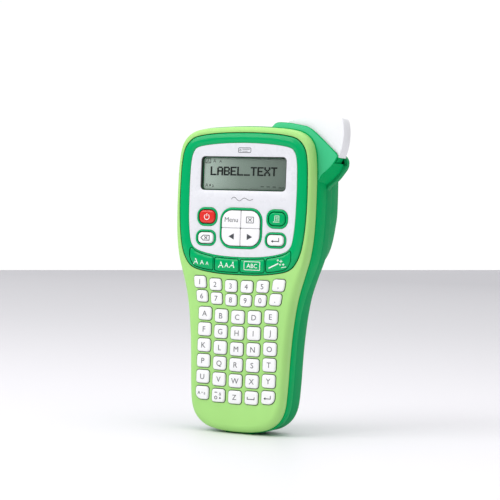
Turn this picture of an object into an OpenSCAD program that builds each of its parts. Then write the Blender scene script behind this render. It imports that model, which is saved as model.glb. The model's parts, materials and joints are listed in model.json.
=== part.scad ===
// Hand-held label maker, about 112 x 58 x 206 mm, standing on its lower end.
// X runs to the right, the keyboard faces -Y and Z runs up the length.
// Z = 0 is the small flat land on the lower end of the main case.

/* [Case] */
// wall thickness of the case shells at the head
wall = 2.0; // [1.5:0.1:2.6]
// rear surface of the battery grip
grip_rear_y = 13; // [11:0.5:15]
// rear surface of the head, behind the tape cassette
head_rear_y = 36.5; // [32:0.5:38]
// clearance between neighbouring case parts
case_gap = 0.25; // [0.15:0.05:0.4]

/* [Keys] */
// height of the key tops above the front face
key_rise = 1.2; // [0.8:0.1:1.6]
// clearance round every key
key_gap = 0.28; // [0.2:0.02:0.4]
// width of a letter key
letter_w = 9.2; // [8:0.1:9.6]
// height of a letter key
letter_h = 8.4; // [7:0.1:8.8]

/* [Mechanism] */
// gear module
gear_m = 0.5; // [0.4:0.1:0.6]
// backlash at the pitch circle
backlash = 0.16; // [0.1:0.02:0.24]
// running clearance of a shaft in its hole
run_gap = 0.05; // [0.02:0.01:0.08]
// diameter of the platen roller
platen_d = 9; // [8:0.5:10]

/* [Hidden] */

$fn = 48;

// levels along Y, from the keyboard to the rear
key_top_y = -20 - key_rise;
bezel_top_y = -21.2;
plate_top_y = -20.6;
face_y = -20;
key_foot_y = -16.2;
board_y = -13.4;
board_t = 1.6;
front_rear_y = -12;
grip_part_y = -4;
head_part_y = 2.3;
floor_y = 7.4;
floor_t = 1.6;
chassis_y = 5.6;
chassis_t = 1.2;

// right half of each outline, from the lower centre to the upper centre
case_pts = [
  [0, 1.0], [8, 1.25], [15, 2.1], [21.5, 3.9], [27, 7.6], [30.6, 12.6], [32.6, 19.5],
  [33.6, 32], [34.2, 46], [35, 60], [36.6, 76], [39.0, 90], [42.6, 103], [45.6, 114],
  [47.5, 127], [48.2, 143], [48.2, 160], [47.7, 174], [46.3, 184], [43.2, 190.2],
  [37.5, 194.4], [29, 196.4], [15, 197.4], [0, 197.8]
];
bezel_pts = [
  [0, 102.6], [14, 102.9], [28, 104.7], [35.2, 107.4], [39.2, 112.4], [41.7, 118.6],
  [43.2, 126.4], [44.2, 136], [44.7, 148], [44.6, 160], [44.0, 174], [42.2, 183],
  [37.6, 188.8], [31, 191.3], [17.7, 192.9], [0, 193.4]
];
plate_pts = [
  [0, 113.6], [15, 114.2], [26, 116], [32.4, 118.3], [35.4, 121.8], [36.8, 128],
  [37.7, 138], [38, 150], [38, 162], [37.4, 175], [35.4, 181.8], [31, 184.6],
  [18, 186.4], [0, 187.1]
];
head_pts = [
  [0, 96], [8, 96], [15, 96.2], [21, 96.7], [26, 97.6], [30, 99], [33.5, 101],
  [36.5, 103.6], [38.9, 106.4], [41, 109.6], [42.7, 113], [44.2, 117], [45.3, 121.4],
  [46.3, 126.6], [47.3, 134], [48.2, 143], [48.2, 160], [47.7, 174], [46.3, 184], [43.2, 190.2],
  [37.5, 194.4], [29, 196.4], [15, 197.4], [0, 197.8]
];
// middle height, half width and half height of each outline
case_size = [99.4, 48.2, 98.4];
bezel_size = [148, 44.7, 45.4];
plate_size = [150.35, 38, 36.75];
head_size = [147, 48.4, 51];

// profile of the shoulder that carries the cutter lever
ear_pts = [
  [10, 190], [15.6, 198.7], [17.6, 200.6], [20.4, 201.2], [27, 200.8], [34.4, 199.6],
  [39, 198.6], [43, 196.4], [48.5, 191.8], [55.6, 185.4], [60.3, 180.6], [59.6, 177.8],
  [57.6, 174.6], [54.2, 170.8], [50.9, 167.7], [46.5, 162], [30, 162]
];
lever_pts = [
  [24.5, 192.5], [24.5, 200.6], [28, 203], [34, 204.6], [41, 205.6], [49, 205.9], [56.6, 205.4],
  [60.6, 204.6], [62.2, 203], [63.1, 199.8], [63.6, 194.6], [63.2, 188.6], [62.2, 184],
  [60.9, 179.2], [59.4, 179.6], [60, 183.4], [57, 184.2], [50.5, 189], [43, 193.6], [34, 191]
];
lever_axis = [22, 194.5];
lever_y = [-8, 3.6];
finger_len = 26.5;

// gear centres, each set out from the one before it
motor_axis = [32, 128];
pinion_teeth = 14;
reduction_teeth = [40, 14];
transfer_teeth = [32, 16];
platen_teeth = 18;
idler_teeth = 24;
spindle_teeth = 24;
function polar(c, r, a) = c + r * [cos(a), sin(a)];
function mesh_r(a, b) = gear_m * (a + b) / 2;
reduction_dir = 145;
transfer_dir = 60;
platen_dir = 160;
idler_dir = 200;
spindle_dir = 160;
reduction_axis = polar(motor_axis, mesh_r(pinion_teeth, reduction_teeth[0]), reduction_dir);
transfer_axis = polar(reduction_axis, mesh_r(reduction_teeth[1], transfer_teeth[0]), transfer_dir);
platen_axis = polar(transfer_axis, mesh_r(transfer_teeth[1], platen_teeth), platen_dir);
idler_axis = polar(platen_axis, mesh_r(platen_teeth, idler_teeth), idler_dir);
spindle_axis = polar(idler_axis, mesh_r(idler_teeth, spindle_teeth), spindle_dir);
layer_near = [1.8, 5.0];
layer_mid = [-2.0, 1.4];
layer_far = [-5.8, -2.4];

cassette_x = [-40, 12.4];
cassette_z = [119, 160];
cassette_y = [9.6, 26.6];
tape_axis = [-22.5, 139.5];
supply_axis = [1.5, 128];
notch_x = 6.4;
notch_z = [140.5, 156.5];

cell_d = 10.4;
cell_len = 44.4;
cell_y = 3.4;
cell_z = [for (i = [0:5]) 17 + 11.2 * i];
screw_at = [[-23, 10.5], [23, 10.5], [-36.6, 96.5], [36.6, 96.5], [-38.5, 182], [2, 190.5]];

// ---------------------------------------------------------------- outline functions

function cr(a, b, c, d, t) =
  0.5 * (2 * b + (c - a) * t + (2 * a - 5 * b + 4 * c - d) * t * t
         + (3 * b - a - 3 * c + d) * t * t * t);
function flip(p) = [-p[0], p[1]];
// closed smooth outline through a half outline and its mirror image
function closed(half, n) =
  let (last = len(half) - 1,
       all = concat(half, [for (i = [last - 1:-1:1]) flip(half[i])]),
       k = len(all))
  [for (i = [0:k - 1], s = [0:n - 1])
    cr(all[(i + k - 1) % k], all[i], all[(i + 1) % k], all[(i + 2) % k], s / n)];
// the outline moved outwards by about g all round
function grown(pts, size, g) =
  [for (p = pts) [p[0] * (1 + g / size[1]), size[0] + (p[1] - size[0]) * (1 + g / size[2])]];
// rounded parallelogram: top edge shifted by skew, corners of radius r
function cap_pts(w, h, skew, r) =
  [for (q = [0:3], s = [0:3])
    let (a = 90 * q + 30 * s,
         cx = (q == 0 || q == 3 ? 1 : -1) * (w / 2 - r),
         cz = (q < 2 ? 1 : -1) * (h / 2 - r),
         z = cz + r * sin(a))
    [cx + r * cos(a) + skew * z / h, z]];

case_outline = closed(case_pts, 3);
bezel_outline = closed(bezel_pts, 4);
plate_outline = closed(plate_pts, 4);
head_outline = closed(head_pts, 3);

// keyboard rows: height at the centre, key count, pitch, width, height, fan-out per key
rows = [
  [94.8, 6, 11.14, 8.5, 7.6, 0.42],
  [85.9, 6, 10.4, 8.0, 7.4, 0.36],
  [75.1, 5, 11.7, letter_w, letter_h, 0],
  [64.9, 5, 11.7, letter_w, letter_h, 0],
  [54.6, 5, 11.7, letter_w, letter_h, 0],
  [44.5, 5, 11.7, letter_w, letter_h, 0],
  [34.2, 5, 11.7, letter_w, letter_h, 0],
  [23.7, 5, 11.7, letter_w, letter_h, 0]
];
function key_x(r, i) = (i - (r[1] - 1) / 2) * r[2];
function key_z(r, i) = r[0] + 1.55 * pow(key_x(r, i) / 25, 2);
function key_lean(r, i) = r[5] * key_x(r, i) / r[2];

// ---------------------------------------------------------------- helpers

// a flat shape in X and Z, given thickness from y0 to y1
module slab(y0, y1) {
  translate([0, y1, 0]) rotate([90, 0, 0]) linear_extrude(y1 - y0) children();
}
// solid through a list of outlines, one at each y
module loft(ys, rings) {
  n = len(rings[0]);
  last = len(ys) - 1;
  points = [for (i = [0:last], p = rings[i]) [p[0], ys[i], p[1]]];
  sides = [
    for (i = [0:last - 1], k = [0:n - 1], half = [0, 1])
      let (a = i * n + k, b = i * n + (k + 1) % n)
        half == 0 ? [a, b, b + n] : [a, b + n, a + n]
  ];
  ends = [[for (k = [n - 1:-1:0]) k], [for (k = [0:n - 1]) last * n + k]];
  polyhedron(points, concat(ends, sides), convexity = 10);
}
// loft of one outline, grown by gs at each y
module roll(ys, gs, pts, size) {
  loft(ys, [for (g = gs) grown(pts, size, g)]);
}
module rounded(w, h, r, at = [0, 0]) {
  translate(at) {
    square([w - 2 * r, h], center = true);
    square([w, h - 2 * r], center = true);
    for (x = [-1, 1], z = [-1, 1])
      translate([x * (w / 2 - r), z * (h / 2 - r)]) circle(r);
  }
}
module rod(at, y0, y1, r) {
  translate([at[0], y1, at[1]]) rotate([90, 0, 0]) cylinder(h = y1 - y0, r = r);
}
module box(x, y, z) {
  translate([x[0], y[0], z[0]]) cube([x[1] - x[0], y[1] - y[0], z[1] - z[0]]);
}
// everything in front of the line where the main case meets the back cover
module front_of_parting(gap = 0) {
  translate([-90, 0, 0])
    rotate([90, 0, 90])
      linear_extrude(180)
        polygon([[-40, -5], [grip_part_y - gap, -5], [grip_part_y - gap, 78],
                 [head_part_y - gap, 112], [head_part_y - gap, 215], [-40, 215]]);
}

// ---------------------------------------------------------------- openings shared by keys and panels

module cap_shape(r, i, g) {
  translate([key_x(r, i), key_z(r, i)])
    polygon(cap_pts(r[3] + 2 * g, r[4] + 2 * g, key_lean(r, i), 1.4 + g));
}
module pad_shape(g) { rounded(26.9 + 2 * g, 22.6 + 2 * g, 6.8 + g, [0, 132.2]); }
module power_shape(g) { rounded(11.5 + 2 * g, 8.6 + 2 * g, 3.4 + g, [-24.3, 139.1]); }
module print_shape(g) { rounded(11.5 + 2 * g, 8.4 + 2 * g, 3.4 + g, [25.2, 138.8]); }
module backspace_shape(g) { rounded(11.2 + 2 * g, 7.2 + 2 * g, 2.8 + g, [-24.8, 125.4]); }
module enter_shape(g) { rounded(11.8 + 2 * g, 7.0 + 2 * g, 2.8 + g, [24.6, 125.2]); }
module function_shapes(g) {
  pad_shape(g);
  power_shape(g);
  print_shape(g);
  backspace_shape(g);
  enter_shape(g);
}
// one of the four keys in the lower part of the ring, numbered from the left
module hot_shape(i, g) {
  x0 = -36.4 + 18.2 * i + 0.5 - g;
  difference() {
    intersection() {
      translate([0, 1.3 - g]) polygon(bezel_outline);
      translate([x0, 98]) square([17.2 + 2 * g, 20]);
    }
    translate([0, g - 1.2]) polygon(plate_outline);
  }
}
module hot_shapes(g) {
  for (i = [0:3]) hot_shape(i, g);
}
// outer edges of the raised rims round the function keys
module rim_shapes(g) {
  rounded(29.8 + 2 * g, 26.2 + 2 * g, 8.2 + g, [0, 132.2]);
  rounded(14.5 + 2 * g, 12.0 + 2 * g, 5.2 + g, [-24.3, 139.1]);
  rounded(14.9 + 2 * g, 12.2 + 2 * g, 5.2 + g, [25.2, 138.8]);
  rounded(14.4 + 2 * g, 10.2 + 2 * g, 4.3 + g, [-24.8, 125.4]);
  rounded(14.8 + 2 * g, 10.0 + 2 * g, 4.3 + g, [24.6, 125.2]);
}

module case_shape(g) { polygon(grown(case_outline, case_size, g)); }
module bezel_shape(g) { polygon(grown(bezel_outline, bezel_size, g)); }
module plate_shape(g) { polygon(grown(plate_outline, plate_size, g)); }
module window_shape(g) { rounded(60.4 + 2 * g, 21.9 + 2 * g, 2.7 + g, [0, 167.25]); }

// ---------------------------------------------------------------- front

module front_case() {
  color("#b2ea8c") {
    difference() {
      roll([face_y, -19.3, -18, -15.5, front_rear_y], [-2.6, -1.2, -0.3, 0, 0], case_outline, case_size);
      slab(face_y + wall, front_rear_y + 1) case_shape(-2.3);
      slab(face_y - 1, face_y + wall + 1) {
        bezel_shape(case_gap);
        for (r = rows, i = [0:r[1] - 1]) cap_shape(r, i, key_gap);
      }
    }
    for (p = screw_at) if (p[1] < 120) front_boss(p, face_y + wall);
  }
}
// tube that takes the point of a case screw
module front_boss(p, y0) {
  difference() {
    rod(p, y0, front_rear_y + 0.6, 2.8);
    rod(p, -16.8, front_rear_y + 1, 1.25);
  }
}

module panel_bezel() {
  color("#02a85f") {
    difference() {
      union() {
        roll([bezel_top_y, -20.5, -19.6, -17], [-1.4, -0.4, 0, 0], bezel_outline, bezel_size);
        slab(-17.9, -17.0) bezel_shape(0.7);
      }
      difference() {
        slab(-23, -19.15) plate_shape(0);
        slab(-21, -18) rim_shapes(0);
      }
      slab(-19.2, -18) window_shape(1.35);
      slab(-23, -16) {
        function_shapes(key_gap);
        hot_shapes(key_gap);
        window_shape(-0.6);
      }
    }
    for (p = screw_at) if (p[1] > 120) front_boss(p, -17.2);
  }
}

module face_plate() {
  color("#eef0f6")
    slab(plate_top_y, -19.2)
      difference() {
        plate_shape(-0.12);
        window_shape(0);
        rim_shapes(0.15);
      }
}

module lcd_window() {
  color([0.72, 0.8, 0.74, 0.45]) slab(-19.15, -18.05) window_shape(1.2);
}

module lcd_gasket() {
  color("#2c302e")
    slab(-16.95, -16.5)
      difference() {
        rounded(66, 27.4, 2.4, [0, 167.25]);
        rounded(61.5, 23, 1.6, [0, 167.25]);
      }
}

module lcd_module() {
  color("#a9b5a8") {
    slab(-16.45, -14.6) rounded(66, 27.4, 1.2, [0, 167.25]);
    slab(-14.6, -13.9) rounded(62, 24, 1, [0, 167.25]);
    for (x = [-29, 29], z = [158, 176.5]) rod([x, z], -13.9, board_y - 0.02, 1.1);
  }
}

module lcd_flex() {
  color("#c98a2e") {
    box([-19, 19], [-14.55, -14.25], [151.5, 155.1]);
    box([-19, 19], [-14.55, board_y - 0.02], [151.2, 151.5]);
    box([-19, 19], [-13.72, board_y - 0.02], [148.5, 151.5]);
  }
}

// ---------------------------------------------------------------- keys

module key_row(n) {
  color("white")
    for (i = [0:rows[n][1] - 1]) {
      slab(key_top_y, -17.6) cap_shape(rows[n], i, 0);
      slab(-17.6, key_foot_y) cap_shape(rows[n], i, 0.6);
    }
}
module digit_keys_upper() { key_row(0); }
module digit_keys_lower() { key_row(1); }
module letter_keys_a_to_e() { key_row(2); }
module letter_keys_f_to_j() { key_row(3); }
module letter_keys_k_to_o() { key_row(4); }
module letter_keys_p_to_t() { key_row(5); }
module letter_keys_u_to_y() { key_row(6); }
module bottom_row_keys() { key_row(7); }

// children: the cap and the wider foot that holds it in the panel
module panel_key(tint, top_y) {
  color(tint) {
    slab(top_y, -16.8) children(0);
    slab(-16.8, key_foot_y) children(1);
  }
}
// one quarter of the four-way pad
module pad_quarter(sx, sz, g) {
  intersection() {
    pad_shape(g);
    translate([sx * 15.25, 132.2 + sz * 15.25]) square(30, center = true);
  }
}
module pad_key(sx, sz) {
  panel_key("white", key_top_y - 0.3) {
    pad_quarter(sx, sz, 0);
    pad_quarter(sx, sz, 0.8);
  }
}
module menu_key() { pad_key(-1, 1); }
module clear_key() { pad_key(1, 1); }
module cursor_left_key() { pad_key(-1, -1); }
module cursor_right_key() { pad_key(1, -1); }
module power_key() { panel_key("#e4322a", key_top_y - 0.3) { power_shape(0); power_shape(0.8); } }
module print_key() { panel_key("#1f9a5c", key_top_y - 0.3) { print_shape(0); print_shape(0.8); } }
module backspace_key() { panel_key("white", key_top_y - 0.3) { backspace_shape(0); backspace_shape(0.8); } }
module enter_key() { panel_key("white", key_top_y - 0.3) { enter_shape(0); enter_shape(0.8); } }
module hot_key(i) { panel_key("#02a85f", -21.1) { hot_shape(i, 0); hot_shape(i, 0.35); } }
module size_key() { hot_key(0); }
module style_key() { hot_key(1); }
module frame_key() { hot_key(2); }
module deco_key() { hot_key(3); }

// ---------------------------------------------------------------- electronics

panel_domes = [
  [-24.3, 139.1], [25.2, 138.8], [-24.8, 125.4], [24.6, 125.2], [-6.8, 137.8],
  [6.8, 137.8], [-6.8, 126.6], [6.8, 126.6], [-27, 109.8], [-9, 108.2], [9, 108.2], [27, 109.8]
];
module keypad_mat() {
  color("#8a8f8c") {
    slab(-14.4, board_y - 0.02)
      difference() {
        intersection() {
          case_shape(-5.2);
          translate([-45, 14]) square([90, 132]);
        }
        for (p = screw_at) translate(p) circle(3.4);
      }
    for (r = rows, i = [0:r[1] - 1]) rod([key_x(r, i), key_z(r, i)], -15.0, -14.4, 2.2);
    for (p = panel_domes) rod(p, -15.0, -14.4, 2.2);
  }
}

module main_board() {
  color("#1c6b3a")
    slab(board_y, board_y + board_t)
      difference() {
        case_shape(-4.2);
        for (p = screw_at) translate(p) circle(3.1);
      }
}

module board_chips() {
  color("#202225") {
    y = board_y + board_t + 0.02;
    box([-11, 3], [y, y + 1.4], [118, 132]);
    box([14, 22], [y, y + 1.2], [100, 106]);
    box([-24, -16], [y, y + 1.6], [142, 152]);
    box([-6, 6], [y, y + 2.4], [70, 76]);
    for (i = [0:4]) box([-20 + 5 * i, -17.6 + 5 * i], [y, y + 0.9], [94, 96]);
    for (x = [-20, 20]) rod([x, 84], y, y + 4.6, 2.2);
  }
}

// ---------------------------------------------------------------- main case and rear cover

// raised bay floor behind the gears, inside the head
module tray_shape(g) {
  intersection() {
    polygon(grown(head_outline, head_size, g - 6));
    translate([-60, 107 - g]) square([120, 100]);
  }
}
// flange between the outer band and the bay floor
module bay_flange(g) {
  difference() {
    case_shape(g);
    translate([-60, -10]) square([120, 114.9]);
    tray_shape(-1.6);
  }
}
// space swept by the cutter lever
module lever_space() {
  polygon([[17.4, 163], [17.4, 215], [80, 215], [80, 178.4], [54, 178.4], [54, 182], [50, 182],
           [50, 167], [44.5, 167], [44.5, 163]]);
}
module ear_shape(g) { offset(delta = g) polygon(ear_pts); }

module main_case() {
  color("#02a85f") {
    difference() {
      union() {
        // outer band
        intersection() {
          slab(front_rear_y, 6)
            difference() {
              case_shape(0.6);
              case_shape(0.6 - wall);
            }
          front_of_parting();
        }
        // wall behind the grip, step, and flange round the bay
        slab(-5.8, -4.2)
          intersection() {
            case_shape(-1);
            translate([-60, 3]) square([120, 101]);
          }
        box([-39.6, 39.6], [-5.8, 2], [103.4, 105]);
        intersection() {
          slab(0.4, 2) bay_flange(-1);
          front_of_parting();
        }
        slab(0.4, 2) bay_flange(-2);
        slab(1.9, floor_y)
          difference() {
            tray_shape(0);
            tray_shape(-1.6);
          }
        slab(floor_y - 0.1, floor_y + floor_t) tray_shape(0);
        rod(motor_axis, floor_y, 26.2, 9.6);
        // ends of the battery tray and the flat foot
        for (x = [-27.4, 26.2]) box([x, x + 1.2], [-4.3, 3.4], [11.5, 78.5]);
        box([-9.4, 9.4], [front_rear_y, 9], [0, 2.4]);
      }
      slab(-9, 3.9) lever_space();
      rod(motor_axis, floor_y - 0.6, 25, 8.2);
      rod(platen_axis, floor_y - 1, floor_y + 3, 2.4);
      rod(spindle_axis, floor_y - 1, floor_y + 3, 3.6);
      box([6.2, 13.6], [floor_y - 1, floor_y + 3], [140, 157]);
      box([15.0, 26.4], [-10, floor_y + 3], [163, 173]);
      rod(lever_axis, -10, -8, 1.5 + run_gap);
      // opening for the arm of the chassis
      box([16.2, 28.8], [chassis_y - 0.3, chassis_y + chassis_t + 0.3], [184, 194]);
      for (p = screw_at) rod(p, -6.5, 3, p[1] > 120 ? 2.9 : 1.5);
      slab(-13, 0) for (p = screw_at) if (p[1] > 120) translate(p) circle(3);
    }
    // shoulder round the lever: front wall, left end and the rim below the lever
    difference() {
      slab(-10.2, -9) ear_shape(0);
      rod(lever_axis, -10, -8, 1.5 + run_gap);
    }
    slab(-9.1, head_part_y)
      intersection() {
        ear_shape(0);
        translate([15.5, 190]) square([1.9, 15]);
      }
    slab(-9.1, head_part_y)
      difference() {
        intersection() {
          ear_shape(0);
          translate([44, 150]) square([20, 25.3]);
        }
        ear_shape(-2);
        case_shape(-0.6);
      }
    slab(-9.1, head_part_y)
      difference() {
        intersection() {
          ear_shape(-1.7);
          translate([44, 172]) square([20, 6.4]);
        }
        ear_shape(-3.3);
      }
    slab(head_part_y - 0.1, 4)
      difference() {
        intersection() {
          ear_shape(-1.7);
          translate([58.3, 174.8]) square([6, 3.6]);
        }
        ear_shape(-3.3);
      }
    // ledge under the lever spring
    box([39, 48.4], [-9.1, 2], [165, 167]);
    // screw bosses
    for (p = screw_at)
      difference() {
        rod(p, front_rear_y + 0.8, p[1] > 120 ? 1.9 : -5, p[1] > 120 ? 4.2 : 2.8);
        rod(p, -6, 3, p[1] > 120 ? 2.9 : 1.5);
        rod(p, front_rear_y, 3, 1.5);
      }
  }
}

// rings of the rear of the case: [y, growth at the grip, growth at the head]
rear_rings = [[-9, 0.6, 0.6], [5, 0.6, 0.6], [9.5, -0.9, 0.4], [grip_rear_y, -5, 0.1]];
// rings of the bay behind the head: [y, growth, lift of the lower edge]
bay_rings = [[grip_rear_y + 0.4, 0, 0], [27, -1.4, 4], [33, -5.4, 8], [head_rear_y, -13, 11]];
function ease(z) = let (t = min(1, max(0, (z - 84) / 36))) t * t * (3 - 2 * t);
function raised(p, lift) = p + [0, lift * (1 - min(1, max(0, (p[1] - 96) / 50)))];
// solid of the rear of the case; t sets the inner surface back from the outer one
module rear_solid(t) {
  ys = concat([for (r = rear_rings) r[0] - (r[0] > 0 ? t : 0)], [for (r = bay_rings) r[0] - t]);
  grip = [for (r = rear_rings)
    [for (p = case_outline)
      grown([p], case_size, r[1] + (r[2] - r[1]) * ease(p[1]) - t)[0]]];
  bay = [for (r = bay_rings)
    [for (p = head_outline) raised(grown([p], head_size, r[1] - t)[0], r[2])]];
  loft(ys, concat(grip, bay));
  hull() {
    slab(1, 8) ear_rear(-t);
    slab(20, 22 - t) translate([28, 175]) circle(16 - t);
  }
}
module ear_rear(g) {
  offset(delta = g)
    polygon([[18, 190], [18.6, 200.7], [27, 201], [34.4, 199.8], [43, 196.2], [48.5, 191.8],
             [55.6, 185.2], [60.8, 179.4], [61.3, 175.4], [59, 171.6], [52, 164], [46, 157],
             [30, 160]]);
}

module back_cover() {
  color("#239a62")
    difference() {
      rear_solid(0);
      rear_solid(wall);
      front_of_parting(-0.12);
      // room for the lever, the foot, the tape exit and the latch
      slab(-10, 4.1)
        polygon([[17, 163], [17, 215], [80, 215], [80, 174.5], [58, 174.5], [56, 178.4], [54, 178.4],
                 [54, 163]]);
      box([-9.7, 9.7], [-13, 9.3], [-2, 2.7]);
      box([12.6, 15.6], [11, 26], [184, 206]);
      box([-19.3, -8.7], [13.7, 21.3], [184, 206]);
    }
}

module cover_latch() {
  color("#239a62") {
    box([-19, -9], [14, 21], [189, 198.2]);
    box([-20.5, -7.5], [12.6, 22.4], [189, 190.6]);
  }
}

module case_screws() {
  color("#b8bcc2")
    for (p = screw_at) {
      y = p[1] > 120 ? -5.9 : -4.1;
      difference() {
        rod(p, y, y + 1.7, 2.6);
        translate([p[0], y + 1.2, p[1]]) cube([3.2, 1.2, 0.7], center = true);
        translate([p[0], y + 1.2, p[1]]) cube([0.7, 1.2, 3.2], center = true);
      }
      rod(p, y - 10, y, 1.2);
    }
}

// ---------------------------------------------------------------- tape cutter

module cutter_lever() {
  color("#f4f4f6") {
    difference() {
      slab(lever_y[0], lever_y[1]) polygon(lever_pts);
      slab(lever_y[0] + 1.5, lever_y[1] - 1.5) {
        offset(delta = -1.7) polygon(lever_pts);
        translate([-2.4, -4.6]) offset(delta = -1.7) polygon(lever_pts);
      }
      rod(lever_axis, -9, 5, 3.8);
    }
    difference() {
      union() {
        rod(lever_axis, lever_y[0], lever_y[1], 4);
        slab(-3.5, 1.5)
          polygon([[19.4, 191.5], [20.5, 198.2], [28, 202], [46, 204.6], [48, 198], [27, 192],
                   [24, 190], [22.9, 168.5], [20.9, 168.5]]);
        rod(lever_axis - [0, finger_len], -3.5, 1.5, 1.5);
        box([42.2, 45], [-2.6, 0.6], [187, 200]);
        translate([43.6, -1, 185.8]) cylinder(h = 1.4, r = 3.3);
      }
      rod(lever_axis, -9, 5, 1.5 + run_gap);
    }
  }
}

module lever_pin() {
  color("#c4c8cc") rod(lever_axis, -9.9, chassis_y + chassis_t, 1.5);
}

module lever_spring() {
  color("#aeb2b8")
    for (i = [0:8])
      translate([43.6, -1, 167.5 + 2.2 * i])
        rotate_extrude() translate([2.7, 0]) circle(0.4, $fn = 16);
}

module blade_holder() {
  color("#e6e7ea")
    difference() {
      box([18.4, 25.6], [-4.4, 26.4], [164, 172]);
      box([20.4, 23.6], [-3.7, 1.7], [165.8, 173]);
      box([17, 20.5], [11.3, 26.1], [167.6, 168.4]);
      box([17, 22], [1.8, 4.4], [163, 173]);
    }
}

module cutter_blade() {
  color("#d0d4d8")
    difference() {
      box([15.0, 20.4], [11.4, 26], [167.7, 168.3]);
      translate([15.0, 11, 168]) rotate([0, -20, 0]) cube([2, 16, 1]);
    }
}

module cutter_anvil() {
  color("#8f949a") {
    box([9.4, 12.4], [floor_y + floor_t + 0.02, 26.2], [164.4, 171.6]);
    box([4, 9.5], [floor_y + floor_t + 0.02, 10.6], [165, 171]);
  }
}

// ---------------------------------------------------------------- gears and feed

function inv(a) = tan(a) * 180 / PI - a;
// spur gear outline: involute flanks, tooth 0 pointing along phase
function gear_pts(n, phase) =
  let (rp = gear_m * n / 2, rb = rp * cos(20), ro = rp + 0.8 * gear_m, rr = rp - 1.1 * gear_m,
       r0 = max(rb, rr),
       half = 90 / n - backlash / 4 / rp * 180 / PI + inv(20),
       flank = [for (k = [0:3]) r0 + (ro - r0) * k / 3])
  [for (i = [0:n - 1], s = [-1, 1], k = (s < 0 ? [-1:3] : [3:-1:-1]))
    let (r = k < 0 ? rr : flank[k],
         a = half - (k < 0 ? inv(acos(rb / r0)) : inv(acos(min(1, rb / r)))),
         t = phase + 360 * i / n + s * a)
    [r * cos(t), r * sin(t)]];
module gear(at, n, phase, layer, bore) {
  slab(layer[0], layer[1])
    translate(at)
      difference() {
        polygon(gear_pts(n, phase));
        circle(bore);
      }
}
// phase of the gear driven across direction dir by a gear of n0 teeth at phase p0
function driven(p0, n0, n1, dir) = dir + 180 + 180 / n1 - (p0 - dir) * n0 / n1;

reduction_phase = driven(0, pinion_teeth, reduction_teeth[0], reduction_dir);
transfer_phase = driven(reduction_phase, reduction_teeth[1], transfer_teeth[0], transfer_dir);
platen_phase = driven(transfer_phase, transfer_teeth[1], platen_teeth, platen_dir);
idler_phase = driven(platen_phase, platen_teeth, idler_teeth, idler_dir);
spindle_phase = driven(idler_phase, idler_teeth, spindle_teeth, spindle_dir);
stud_r = 1.0;

module motor_pinion() {
  color("#c8b26a") {
    gear(motor_axis, pinion_teeth, 0, layer_far, 0.5);
    rod(motor_axis, layer_far[0], 9.4, 1);
  }
}
module reduction_gear() {
  color("#e8e4d8") {
    bore = stud_r + run_gap;
    gear(reduction_axis, reduction_teeth[0], reduction_phase, layer_far, bore);
    gear(reduction_axis, reduction_teeth[1], reduction_phase, [layer_far[1] - 0.2, layer_mid[1]], bore);
  }
}
module transfer_gear() {
  color("#e8e4d8") {
    bore = stud_r + run_gap;
    gear(transfer_axis, transfer_teeth[0], transfer_phase, layer_mid, bore);
    gear(transfer_axis, transfer_teeth[1], transfer_phase, [layer_mid[1] - 0.2, layer_near[1]], bore);
  }
}
module platen_gear() {
  color("#e8e4d8") {
    gear(platen_axis, platen_teeth, platen_phase, layer_near, 1);
    rod(platen_axis, layer_near[0] - 0.1, 27.2, 1.5);
  }
}
module idler_gear() {
  color("#e8e4d8") gear(idler_axis, idler_teeth, idler_phase, layer_near, stud_r + run_gap);
}
module ribbon_spindle() {
  color("#2f3236") {
    gear(spindle_axis, spindle_teeth, spindle_phase, layer_near, 1);
    rod(spindle_axis, layer_near[0] - 0.1, 23.6, 2.4);
    for (a = [0:60:300])
      translate([spindle_axis[0], 0, spindle_axis[1]])
        rotate([0, a, 0]) translate([0, 11.5, -0.4]) cube([3.0, 12, 0.8]);
  }
}
module gear_shafts() {
  color("#c4c8cc") {
    rod(reduction_axis, layer_far[0] - 0.4, chassis_y + chassis_t, stud_r);
    rod(transfer_axis, layer_mid[0] - 0.4, chassis_y + chassis_t, stud_r);
    rod(idler_axis, layer_near[0] - 0.4, chassis_y + chassis_t, stud_r);
  }
}
module mech_chassis() {
  color("#b9bcc0")
    slab(chassis_y, chassis_y + chassis_t)
      difference() {
        polygon([[-9, 141], [-9, 157], [5, 161], [5, 176], [13, 186], [17, 188.6], [18.8, 192.6],
                 [20.9, 196.6], [23.6, 196.6], [25.4, 195], [28, 188.4], [28, 174], [36, 160],
                 [38.4, 148], [38.4, 130], [35.6, 119], [16, 119], [6, 137]]);
        for (p = [reduction_axis, transfer_axis, idler_axis]) translate(p) circle(stud_r + 0.02);
        translate(motor_axis) circle(3);
        translate(platen_axis) circle(1.5 + run_gap);
        translate(spindle_axis) circle(2.4 + run_gap);
        translate(lever_axis) circle(1.52);
        translate([15, 163]) square([11.4, 10]);
      }
}
module drive_motor() {
  color("#9a9ea4") {
    difference() {
      intersection() {
        rod(motor_axis, chassis_y + chassis_t + 0.02, 23.6, 8);
        box([20, 44], [0, 30], [121.6, 134.4]);
      }
      rod(motor_axis, 6, 10, 1.2);
    }
    rod(motor_axis, 23.5, 24.8, 2.6);
    for (z = [-4.4, 4.4]) box([31, 33], [23.5, 24.8], [128 + z - 0.4, 128 + z + 0.4]);
  }
}
module platen_roller() {
  color("#2a2b2d")
    slab(11, 24.9) translate(platen_axis) difference() { circle(platen_d / 2); circle(1.52); }
}
module roller_holder() {
  color("#3a3d41") {
    for (y = [floor_y + floor_t + 0.1, 25.2])
      slab(y, y + 1.6)
        difference() {
          polygon([[16.4, 143.4], [16.4, 154], [20, 156.6], [27.4, 156.6], [27.4, 141.4], [18.6, 141.4]]);
          translate(platen_axis) circle(1.5 + run_gap);
        }
    box([25.4, 27.4], [floor_y + floor_t + 0.1, 26.8], [141.4, 156.6]);
  }
}
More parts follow.
